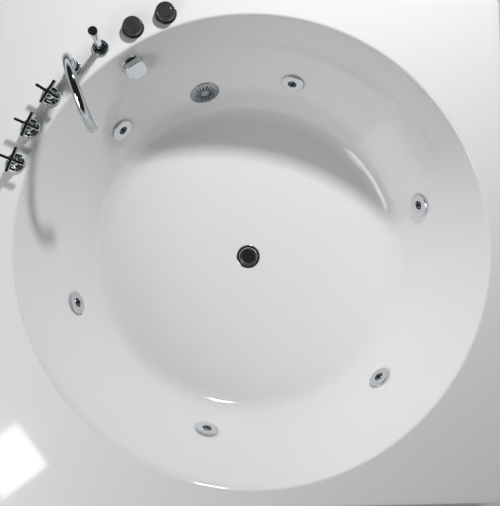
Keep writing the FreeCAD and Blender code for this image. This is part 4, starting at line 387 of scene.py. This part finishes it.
# In metres: seams merge within SEAM, edges under SLIVER go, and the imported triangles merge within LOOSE.
SEAM, SLIVER, LOOSE = 0.000002, 0.0000005, 0.00001


def grid_mesh(name, points, close_v=False):
    """Quads between neighbours of points[u, v]; u closes on itself, and v does so on request."""
    count_u, count_v = points.shape[:2]
    v = np.arange(count_v if close_v else count_v - 1)
    here_u, here_v = np.meshgrid(np.arange(count_u), v, indexing="ij")
    next_u, next_v = (here_u + 1) % count_u, (here_v + 1) % count_v
    quads = np.stack([here_u * count_v + here_v, next_u * count_v + here_v,
                      next_u * count_v + next_v, here_u * count_v + next_v], axis=-1).reshape(-1, 4)
    mesh = bpy.data.meshes.new(name)
    mesh.vertices.add(count_u * count_v)
    mesh.vertices.foreach_set("co", points.reshape(-1).astype(np.float32))
    mesh.loops.add(quads.size)
    mesh.loops.foreach_set("vertex_index", quads.reshape(-1).astype(np.int32))
    mesh.polygons.add(len(quads))
    mesh.polygons.foreach_set("loop_start", np.arange(0, quads.size, 4, dtype=np.int32))
    mesh.update(calc_edges=True)
    return mesh


def tidy(mesh):
    """Merge poles and seams, turn every face outwards, and shade smooth between sharp edges."""
    work = bmesh.new()
    work.from_mesh(mesh)
    bmesh.ops.remove_doubles(work, verts=work.verts, dist=SEAM)
    bmesh.ops.dissolve_degenerate(work, edges=work.edges, dist=SLIVER)
    bmesh.ops.recalc_face_normals(work, faces=work.faces)
    work.to_mesh(mesh)
    work.free()
    mesh.shade_smooth()
    mesh.set_sharp_from_angle(angle=SHARP)
    return mesh


def rounded(corners, steps=6):
    """A polyline from (r, z, radius) corners: each corner becomes an arc tangent to both its sides."""
    flat = np.array([corner[:2] for corner in corners], float)
    out = [flat[:1]]
    for before, corner, after, radius in zip(flat, flat[1:], flat[2:], [c[2] for c in corners[1:-1]]):
        if radius <= 0:
            out.append(corner[None])
            continue
        back = (before - corner) / np.linalg.norm(before - corner)
        ahead = (after - corner) / np.linalg.norm(after - corner)
        half = 0.5 * math.acos(float(np.clip(back @ ahead, -1, 1)))
        middle = corner + (back + ahead) / np.linalg.norm(back + ahead) * radius / math.sin(half)
        first = corner + back * radius / math.tan(half) - middle
        last = corner + ahead * radius / math.tan(half) - middle
        share = np.linspace(0, 1, steps + 1)[:, None]
        turn = math.pi - 2 * half
        arc = (np.sin((1 - share) * turn) * first + np.sin(share * turn) * last) / math.sin(turn)
        out.append(middle + arc)
    out.append(flat[-1:])
    return np.vstack(out)


def divided(line, longest):
    """The same polyline with points added, so that no step is longer than that."""
    out = [line[:1]]
    for start, stop in zip(line, line[1:]):
        count = max(1, math.ceil(np.linalg.norm(stop - start) / longest))
        out.append(start + (stop - start) * (np.arange(1, count + 1) / count)[:, None])
    return np.vstack(out)


def supported(line, gap=0.25):
    """Extra points just beside each corner, so that the shading stays flat between the corners."""
    out = [line[:1]]
    for start, stop in zip(line, line[1:]):
        length = np.linalg.norm(stop - start)
        if length > 4 * gap:
            out.append(np.array([start, stop]) + (stop - start) / length * np.array([[gap], [-gap]]))
        out.append(stop[None])
    return np.vstack(out)


def moved(points, matrix):
    """points times the matrix, from local millimetres to metres in the frame."""
    return (points @ matrix[:3, :3].T + matrix[:3, 3]) * MM


def turned_points(profile, steps):
    """Each (r, z) of the profile swung round the local z axis."""
    angle = np.linspace(0, 2 * math.pi, steps, endpoint=False)
    r, z = profile[None, :, 0], profile[None, :, 1]
    return np.stack([r * np.cos(angle)[:, None], r * np.sin(angle)[:, None],
                     np.broadcast_to(z, (steps, profile.shape[0]))], -1)


def turned_mesh(name, corners, place, ring=False, steps=96):
    """A turned piece from (r, z) or (r, z, rounding) corners; a ring's last corner joins its first."""
    full = [(*corner, 0.0)[:3] for corner in corners]
    line = supported(rounded(full, steps=5))
    return tidy(grid_mesh(name, moved(turned_points(line, steps), place), close_v=ring))


def together(name, meshes):
    """Several separate solids in one mesh."""
    work = bmesh.new()
    for mesh in meshes:
        work.from_mesh(mesh)
        bpy.data.meshes.remove(mesh)
    joined = bpy.data.meshes.new(name)
    work.to_mesh(joined)
    work.free()
    joined.set_sharp_from_angle(angle=SHARP)
    return joined


def combined(name, base, tool, operation):
    """An exact Boolean of two meshes, stored as plain faces."""
    pair = [bpy.data.objects.new("boolean_" + mesh.name, mesh) for mesh in (base, tool)]
    for item in pair:
        bpy.context.scene.collection.objects.link(item)
    step = pair[0].modifiers.new("boolean", "BOOLEAN")
    step.operation = operation
    step.solver = "EXACT"
    step.object = pair[1]
    bpy.context.view_layer.update()
    result = bpy.data.meshes.new_from_object(pair[0].evaluated_get(bpy.context.evaluated_depsgraph_get()))
    for item in pair:
        bpy.data.objects.remove(item)
    result.name = name
    result.shade_smooth()
    result.set_sharp_from_angle(angle=SHARP)
    return result


# %% [markdown]
# ## Pieces that keep their solid
# Pipes, frame, pump and fittings already have their real shape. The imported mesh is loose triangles, so a
# copy is merged and shaded smooth up to its sharp edges: without that, a polished curve shows every facet.

# %% Smooth copies of the solids
def smooth_copy(node_name):
    """Merge a node's loose triangles, shade them smooth between sharp edges, and stand for the node."""
    mesh = nodes[node_name].data.copy()
    work = bmesh.new()
    work.from_mesh(mesh)
    bmesh.ops.remove_doubles(work, verts=work.verts, dist=LOOSE)
    work.to_mesh(mesh)
    work.free()
    mesh.name = node_name + "_surface"
    mesh.shade_smooth()
    mesh.set_sharp_from_angle(angle=SHARP)
    finished(node_name + "_surface", mesh, node_name)


def finished(name, mesh, node_name):
    """Put a mesh into the scene in place of a node, on the node's body and with the node's finish."""
    mesh.materials.clear()
    mesh.materials.append(finishes[slot_of_node[node_name]])
    piece = bpy.data.objects.new(name, mesh)
    bpy.context.scene.collection.objects.link(piece)
    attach(piece, body_of_node[node_name])
    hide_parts(node_name)
    return piece


JET_COUNT = 6
OWN_SURFACE = {"tub_shell", "jet_fittings", "suction_grille", "overflow_plate", "overflow_knob",
               "waste_flange", "waste_plug", "valve_bonnets", "hot_handle", "diverter_handle", "cold_handle",
               "spout_base", "spout", "shower_socket", "hand_shower", "button_housing", "power_button",
               "air_valve", "air_knob",
               *[f"jet_{kind}_{number}" for kind in ("trim", "nozzle") for number in range(1, JET_COUNT + 1)]}
for node_name in sorted(set(nodes) - OWN_SURFACE):
    smooth_copy(node_name)
print("smooth copies", len(nodes) - len(OWN_SURFACE))

# %% [markdown]
# ## The moulded shell
# The deck and the basin are one sheet of acrylic. Its surface is r(u, v), z(u, v) with u the direction round
# the basin: the basin part is the same for every u, and the deck part stretches from the rim to the square
# edge. In direction u, that edge is where a line from the middle meets a square with rounded corners.

# %% Shell surface
DECK_HALF, DECK_TOP, WALL = 750.0, 600.0, 7.0
RIM, DEPTH, TILT = 696.0, 440.0, math.radians(21.8)
SLOPE = math.tan(TILT)
FLOOR_EDGE = DECK_TOP - DEPTH
FLOOR_MIDDLE = FLOOR_EDGE - 6.0
FLOOR_RADIUS = RIM - DEPTH * SLOPE
WASTE_HOLE, WASTE_SEAT, SEAT_DEPTH = 34.0, 41.5, 2.5
FLOOR_BEND, RIM_BEND, DECK_CORNER, DECK_EDGE, LIP_DROP = 70.0, 9.0, 20.0, 4.0, 45.0


def square_reach(direction, half, corner):
    """Distance from the middle to a square's edge with rounded corners, in each direction."""
    plain = half / np.maximum(np.abs(np.cos(direction)), np.abs(np.sin(direction)))
    off = (direction + math.pi / 4) % (math.pi / 2) - math.pi / 4
    off = np.pi / 4 - np.abs(off)
    centre = (half - corner) * math.sqrt(2)
    inside = np.maximum(corner**2 - (centre * np.sin(off))**2, 0)
    arc = centre * np.cos(off) + np.sqrt(inside)
    side = np.minimum(np.abs(np.cos(direction)), np.abs(np.sin(direction))) * plain
    return np.where(side > half - corner, arc, plain)


def shell_grid():
    """Rows of (r, z) along the sheet: waste hole, floor, wall, rim, deck, lip and back underneath."""
    even = np.radians(np.arange(0, 360, 0.9))
    near = np.radians(np.arange(-0.85, 0.86, 0.17))
    corners = np.radians([45, 135, 225, 315])
    u = np.unique(np.round(np.concatenate([even, (corners[:, None] + near).ravel()]), 6))
    inner = rounded([(WASTE_HOLE, FLOOR_MIDDLE - SEAT_DEPTH, 0), (WASTE_SEAT, FLOOR_MIDDLE - SEAT_DEPTH, 0),
                     (WASTE_SEAT, FLOOR_MIDDLE + 0.5, 0.4), (FLOOR_RADIUS, FLOOR_EDGE, FLOOR_BEND),
                     (RIM, DECK_TOP, RIM_BEND), (RIM + 8.0, DECK_TOP, 0)], steps=20)
    inner = divided(inner, longest=28.0)
    across = WALL / math.cos(TILT)
    outer_floor = FLOOR_RADIUS - WALL * SLOPE + across
    outer = rounded([(RIM + across - WALL * SLOPE, DECK_TOP - WALL, 0),
                     (outer_floor, FLOOR_EDGE - WALL, FLOOR_BEND + WALL),
                     (WASTE_HOLE, FLOOR_MIDDLE - WALL, 0)], steps=16)
    outer = divided(outer, longest=60.0)
    edge = square_reach(u, DECK_HALF, DECK_CORNER)
    inset = square_reach(u, DECK_HALF - WALL, DECK_CORNER - WALL)
    bend = np.linspace(0, math.pi / 2, 6)
    columns = [np.stack([np.full_like(u, r), np.full_like(u, z)], -1) for r, z in inner]
    for share in np.linspace(0.1, 1.0, 10):
        columns.append(np.stack([inner[-1, 0] + (edge - DECK_EDGE - inner[-1, 0]) * share,
                                 np.full_like(u, DECK_TOP)], -1))
    for angle in bend[1:]:
        columns.append(np.stack([edge - DECK_EDGE * (1 - math.sin(angle)),
                                 np.full_like(u, DECK_TOP - DECK_EDGE * (1 - math.cos(angle)))], -1))
    lip = DECK_TOP - LIP_DROP
    for reach_out, z in ((edge, lip + 20), (edge, lip + 1), (edge - 1, lip), (inset + 1, lip),
                         (inset, lip + 1), (inset, DECK_TOP - WALL - 4), (inset - 4, DECK_TOP - WALL)):
        columns.append(np.stack([reach_out, np.full_like(u, z)], -1))
    for share in np.linspace(0.25, 0.75, 3):
        columns.append(np.stack([inset - 4 + (outer[0, 0] - inset + 4) * share,
                                 np.full_like(u, DECK_TOP - WALL)], -1))
    columns += [np.stack([np.full_like(u, r), np.full_like(u, z)], -1) for r, z in outer]
    profile = np.stack(columns, axis=1)
    x = profile[..., 0] * np.cos(u)[:, None]
    y = profile[..., 0] * np.sin(u)[:, None]
    return np.stack([x, y, profile[..., 1]], -1) * MM


shell_mesh = tidy(grid_mesh("tub_shell_plain", shell_grid(), close_v=True))
print("shell faces", len(shell_mesh.polygons))

# %% [markdown]
# Holes let the fittings pass through the wall. They are cut with a Boolean, whose cutter is every drill at
# once, and the result is stored in the mesh, so nothing stays live.

# %% Places of the fittings, and the holes in the wall


def wall_frame(azimuth, depth):
    """4x4 matrix of a place on the basin wall: local z points into the basin, local x up the slope."""
    a = math.radians(azimuth)
    radius = RIM - depth * SLOPE
    out = np.array([math.cos(a), math.sin(a), 0.0])
    up = np.array([0.0, 0.0, 1.0])
    x = math.sin(TILT) * out + math.cos(TILT) * up
    z = -math.cos(TILT) * out + math.sin(TILT) * up
    matrix = np.eye(4)
    matrix[:3, 0], matrix[:3, 1], matrix[:3, 2] = x, np.cross(z, x), z
    matrix[:3, 3] = radius * out + (DECK_TOP - depth) * up
    return matrix


def level_frame(radius, azimuth, height, yaw=0.0):
    """4x4 matrix of a level place: local x turned by yaw from the frame's x."""
    a, turn = math.radians(azimuth), math.radians(yaw)
    matrix = np.eye(4)
    matrix[:2, :2] = [[math.cos(turn), -math.sin(turn)], [math.sin(turn), math.cos(turn)]]
    matrix[:3, 3] = radius * math.cos(a), radius * math.sin(a), height
    return matrix


JET_START, JET_DEPTH = 135.5, 273
SUCTION_AZIMUTH, SUCTION_DEPTH = 105.0, 322
OVERFLOW_AZIMUTH, OVERFLOW_DEPTH = 122.8, 68
JET_DRILL, SUCTION_DRILL, OVERFLOW_DRILL = 27.0, 33.0, 27.0
JETS = [wall_frame(JET_START + 360 / JET_COUNT * step, JET_DEPTH) for step in range(JET_COUNT)]
SUCTION = wall_frame(SUCTION_AZIMUTH, SUCTION_DEPTH)
OVERFLOW = wall_frame(OVERFLOW_AZIMUTH, OVERFLOW_DEPTH)
drills = together("drills", [
    turned_mesh("drill", [(0, -25.0), (radius, -25.0), (radius, 25.0), (0, 25.0)], place, steps=48)
    for place, radius in [*[(jet, JET_DRILL) for jet in JETS],
                          (SUCTION, SUCTION_DRILL), (OVERFLOW, OVERFLOW_DRILL)]])
shell = finished("tub_shell_surface", combined("tub_shell_surface", shell_mesh, drills, "DIFFERENCE"),
                 "tub_shell")
print("shell with holes, faces", len(shell.data.polygons))

# %% [markdown]
# ## Waste and overflow
# The waste is a low ring pressed on the floor, with a nearly flat plug in it that the overflow's knob lifts.
# The knob is a thick disc with four flats for the fingers, and stands off its ring, so that water runs in
# behind it. Profiles are (r, z) or (r, z, rounding) in millimetres, measured from the fitting's own place.

# %% Waste flange, plug and overflow
WASTE = level_frame(radius=0.0, azimuth=0.0, height=FLOOR_MIDDLE - SEAT_DEPTH, yaw=OVERFLOW_AZIMUTH)
finished("waste_flange_surface", turned_mesh("waste_flange_surface", [
    (28, -48), (33, -48), (33, 0), (40.5, 0), (40.5, 2.3, 0.5), (39.2, 3, 0.5), (31.8, 3, 0.5),
    (30, 1.5, 0.4), (28, 1.5)], WASTE, ring=True), "waste_flange")
finished("waste_plug_surface", turned_mesh("waste_plug_surface", [
    (0, -75), (4, -75), (4, -12), (12, -4), (25, -1.5), (26.5, -0.75), (26.5, 1.6, 0.5), (25, 3.1, 0.8),
    (0, 4.6)], WASTE), "waste_plug")
finished("overflow_plate_surface", turned_mesh("overflow_plate_surface", [
    (20, -24), (26, -24), (26, 0), (36, 0), (36, 2, 0.8), (33, 5, 1.0), (20, 5)], OVERFLOW, ring=True),
    "overflow_plate")


def knob_points(place):
    """A shaft, then a disc whose reach is the smaller of a circle's and of a rounded square's."""
    radius, flat, corner, back, front = 36.5, 32.0, 3.0, 11, 30
    angle = np.radians(np.arange(0, 360, 1.5))
    reach = np.minimum(radius, square_reach(angle, flat, corner))
    shaft = supported(rounded([(0, -54, 0), (6, -54, 0), (6, back, 0), (14, back, 0)]))
    edge = supported(rounded([(-8, back, 0), (0, back, 0.6), (0, front, 1.6), (-8, front, 0)], steps=5))
    columns = [np.stack([np.full_like(angle, r), np.full_like(angle, z)], -1) for r, z in shaft]
    columns += [np.stack([reach + r, np.full_like(angle, z)], -1) for r, z in edge]
    columns.append(np.stack([np.zeros_like(angle), np.full_like(angle, front)], -1))
    profile = np.stack(columns, axis=1)
    return moved(np.stack([profile[..., 0] * np.cos(angle)[:, None], profile[..., 0] * np.sin(angle)[:, None],
                           profile[..., 1]], -1), place)


finished("overflow_knob_surface", tidy(grid_mesh("overflow_knob_surface", knob_points(OVERFLOW))),
         "overflow_knob")
print("waste and overflow made")

# %% [markdown]
# ## Jets and suction grille
# Each jet has a flange clamped to the wall, a flat disc that turns to set its flow, and an eyeball that
# tilts. The grille over the suction is a low dome with curved slots, all turned the same way.

# %% Jets and grille
BALL, BALL_Z, SLOT_COUNT = 15.5, -3, 16
ball = [(BALL * math.cos(a), BALL_Z + BALL * math.sin(a)) for a in np.radians(np.linspace(50.0, -49.8, 20))]
for number, place in enumerate(JETS, start=1):
    finished(f"jet_trim_{number}_surface", turned_mesh(f"jet_trim_{number}_surface", [
        (15.8, 0), (14.5, 3.3), (14.5, 8, 0.6), (35, 8, 2.0), (38, 6.5, 0.6), (38, 3.3, 0.3), (19.7, 3.3),
        (19.7, -12), (15.8, -12)], place, ring=True, steps=128), f"jet_trim_{number}")
    finished(f"jet_nozzle_{number}_surface", turned_mesh(f"jet_nozzle_{number}_surface", [
        (5.5, -3), (5.5, 9.5, 0.6), (9.16, 9.5, 0.3), *ball, (10, -3)], place, ring=True, steps=64),
        f"jet_nozzle_{number}")
finished("jet_fittings_surface", together("jet_fittings_surface", [turned_mesh("jet_fitting", [
    (20, -30), (26.5, -30), (26.5, 0), (35, 0), (35, 3, 0.5), (20, 3)], place, ring=True)
    for place in JETS]), "jet_fittings")


def slot_points(turn, place):
    """A curved bar: its middle line is an arc from the hub to the ring, of radius bend."""
    inner, outer, bend, half = 14.2, 35.8, 30.0, 2.2
    low, high, steps = 0.6, 9.0, 11
    chord, middle = outer - inner, (outer + inner) / 2
    rise, spread = math.sqrt(bend**2 - (chord / 2)**2), math.asin(chord / 2 / bend)
    angle = np.linspace(math.pi / 2 - spread, math.pi / 2 + spread, steps)
    section = np.array([(bend - half, low), (bend + half, low), (bend + half, high), (bend - half, high)])
    cap = np.broadcast_to(section.mean(0), (4, 2))[:, None]
    section = np.concatenate([cap, np.broadcast_to(section[:, None], (4, steps, 2)), cap], 1)
    angle = np.concatenate([angle[:1], angle, angle[-1:]])
    x = middle + section[..., 0] * np.cos(angle)
    y = section[..., 0] * np.sin(angle) - rise
    c, s = math.cos(turn), math.sin(turn)
    return moved(np.stack([c * x - s * y, s * x + c * y, section[..., 1]], -1), place)


grille = turned_mesh("grille_dome", [
    (0, 5), (12, 5, 4.0), (38, 3.5, 4.0), (49.5, 2.75, 1.0), (51, 2, 0.4), (51, 0), (32, 0), (32, -28),
    (27, -28), (27, 0.5), (38, 2), (12, 3.5), (0, 3.5)], SUCTION, steps=128)
slots = together("slots", [tidy(grid_mesh("slot", slot_points(math.tau * step / SLOT_COUNT, SUCTION)))
                           for step in range(SLOT_COUNT)])
finished("suction_grille_surface", combined("suction_grille_surface", grille, slots, "DIFFERENCE"),
         "suction_grille")
print("jets and grille made")

# %% [markdown]
# ## Taps
# A tap is a stepped bonnet with a cross on top: two square bars that cross on one stem. The bars' edges are
# only lightly rounded, so from above each bar is nearly as wide and as dark as its flat top.

# %% Taps
# name, distance from the middle, azimuth, yaw of the cross
TAPS = [("hot_handle", 738.5, 143.0, -32), ("diverter_handle", 736.0, 151.6, -24),
        ("cold_handle", 733.5, 160.2, -22)]


def bar_points(yaw, place):
    """A square bar of side 2w along the local x axis, turned by yaw, with rounded edges and ends."""
    half, height, w = 38.5, 54.5, 4.5
    section = rounded([(0, w, 0), (w, w, 1.0), (w, -w, 1.0), (-w, -w, 1.0), (-w, w, 1.0), (0, w, 0)],
                      steps=4)[:-1]
    ends = supported(rounded([(0, -half, 0), (w, -half, 0.8), (w, half, 0.8), (0, half, 0)], steps=4))
    scale = ends[:, 0] / w
    y = section[:, 0][:, None] * scale
    z = height + section[:, 1][:, None] * scale
    x = np.broadcast_to(ends[:, 1], y.shape)
    c, s = math.cos(yaw), math.sin(yaw)
    return moved(np.stack([c * x - s * y, s * x + c * y, z], -1), place)


bonnets = []
for name, radius, azimuth, yaw in TAPS:
    place = level_frame(radius, azimuth, DECK_TOP, yaw)
    bonnets.append(turned_mesh("bonnet", [
        (5.1, 0), (28.5, 0), (28.5, 7, 1.5), (25.5, 10, 1.5), (17, 10, 1.5), (13, 40.5, 0.8), (11.5, 42, 0.8),
        (5.1, 42)], place, ring=True))
    stem = turned_mesh("stem", [(0, -55), (5, -55), (5, 42.3), (6.3, 42.3), (6.3, 56), (0, 56)], place,
                       steps=64)
    first = tidy(grid_mesh("bar", bar_points(0.0, place)))
    second = tidy(grid_mesh("bar", bar_points(math.pi / 2, place)))
    cross = combined("cross", first, second, "UNION")
    finished(name + "_surface", combined(name + "_surface", cross, stem, "UNION"), name)
finished("valve_bonnets_surface", together("valve_bonnets_surface", bonnets), "valve_bonnets")
print("taps made")

# %% [markdown]
# ## Spout and hand shower
# The spout is one bent tube: a straight rise, a half circle and a short straight drop. Its rings of points
# follow that path outside, turn over the lip and run back inside, which closes the surface. The hand shower
# stands in a collar on the deck. These fittings, the button and the air regulator share one arc.

# %% Spout and hand shower


def spout_points(place):
    """Rings round a path in the local xz plane; each station has a point, a heading and a radius."""
    reach, rise, tip = 206.0, 98.0, 84.0
    tube, bore, pin = 13.5, 11.0, 8.4
    bend = reach / 2
    rising = supported(rounded([(pin, -9.7, 0), (10.4, -9.7, 0), (10.4, 12.3, 0), (18, 12.3, 0),
                                (18, 30.3, 1.5), (tube, 30.3, 0), (tube, rise, 0)], steps=5))
    stations = [(0.0, z, math.pi / 2, r) for r, z in rising]
    turns = np.radians(np.linspace(0, 180, 61))[1:]
    over = [(bend - bend * math.cos(a), rise + bend * math.sin(a), math.pi / 2 - a) for a in turns]
    stations += [(x, z, heading, tube) for x, z, heading in over]
    lip = supported(rounded([(tube, rise - 1, 0), (tube, tip, 0.8), (bore, tip, 0.8), (bore, rise - 1, 0)],
                            steps=4))
    stations += [(reach, z, -math.pi / 2, r) for r, z in lip]
    stations += [(x, z, heading, bore) for x, z, heading in over[::-1]]
    stations += [(0.0, z, math.pi / 2, r) for z, r in ((rise, bore), (12.5, bore), (12.0, pin))]
    x, z, heading, radius = np.array(stations).T
    angle = np.linspace(0, math.tau, 48, endpoint=False)[:, None]
    side = radius * np.cos(angle)
    points = np.stack([x - side * np.sin(heading), radius * np.sin(angle), z + side * np.cos(heading)], -1)
    return moved(points, place)


FITTING_ARC = 741.0
SPOUT = level_frame(FITTING_ARC, azimuth=134.8, height=DECK_TOP, yaw=-71.6)
SHOWER = level_frame(FITTING_ARC, azimuth=127.2, height=DECK_TOP)
finished("spout_surface", tidy(grid_mesh("spout_surface", spout_points(SPOUT), close_v=True)), "spout")
finished("spout_base_surface", turned_mesh("spout_base_surface", [
    (10.5, -100), (15, -100), (15, 0), (22, 0), (22, 9, 1.5), (19, 12, 1.5), (10.5, 12)], SPOUT, ring=True),
    "spout_base")
finished("shower_socket_surface", turned_mesh("shower_socket_surface", [
    (10.3, -4), (17, -4), (17, -300), (19, -300), (19, 0), (25, 0), (25, 5, 1.5), (22, 8, 1.5),
    (18, 8, 0.5), (16.5, 6.5, 0.5), (10.3, 6.5)], SHOWER, ring=True), "shower_socket")
finished("hand_shower_surface", turned_mesh("hand_shower_surface", [
    (0, -170), (11, -170, 1.0), (11, -151.5, 0.4), (10, -150, 0.4), (10, 125.8, 3.0), (14.4, 133, 3.0),
    (14.4, 143.5, 0.8), (12.9, 145, 0.8), (0, 145)], SHOWER), "hand_shower")
print("spout and hand shower made")

# %% [markdown]
# ## Button and air regulator
# Both are low turned caps, each on a flange of the same size. The button's middle moves down inside its
# ring, and the air regulator's cap turns as a whole; a shallow groove marks it.

# %% Button and air regulator
BUTTON = level_frame(FITTING_ARC, azimuth=118.4, height=DECK_TOP)
AIR = level_frame(FITTING_ARC, azimuth=110.2, height=DECK_TOP)
finished("button_housing_surface", turned_mesh("button_housing_surface", [
    (2.5, -56), (2.5, -69), (4, -69), (4, -60), (24, -60), (24, 0), (33, 0), (33, 2.5, 0.8), (31.5, 4, 0.8),
    (28.5, 4), (28.5, 22.5, 0.8), (27, 24, 0.8), (23.4, 24, 0.5), (23.4, 4), (18, 4), (18, -56)], BUTTON,
    ring=True), "button_housing")
finished("power_button_surface", turned_mesh("power_button_surface", [
    (0, -24), (17.7, -24), (17.7, -18), (8, -18), (8, 12), (23.1, 12), (23.1, 25, 0.8), (21.6, 26.5, 0.8),
    (18.4, 26.5, 0.3), (17.9, 26.1, 0.3), (15.6, 26.1, 0.3), (15.1, 26.5, 0.3), (0, 26.5)], BUTTON),
    "power_button")
finished("air_valve_surface", turned_mesh("air_valve_surface", [
    (5.1, -5), (18, -5), (18, -56), (5.5, -56), (5.5, -85), (8, -85), (8, -60), (24, -60), (24, 0), (33, 0),
    (33, 2.5, 0.8), (31.5, 4, 0.8), (5.1, 4)], AIR, ring=True), "air_valve")
finished("air_knob_surface", turned_mesh("air_knob_surface", [
    (0, -34), (17.7, -34), (17.7, -30), (5, -30), (5, 4.3), (28.5, 4.3, 0.4), (28.5, 23.5, 0.8),
    (27, 25, 0.8), (23.1, 25, 0.5), (23.1, 23.5, 0.4), (18, 23.5, 0.4), (18, 25, 0.5), (0, 25)], AIR),
    "air_knob")
print("button and regulator made")
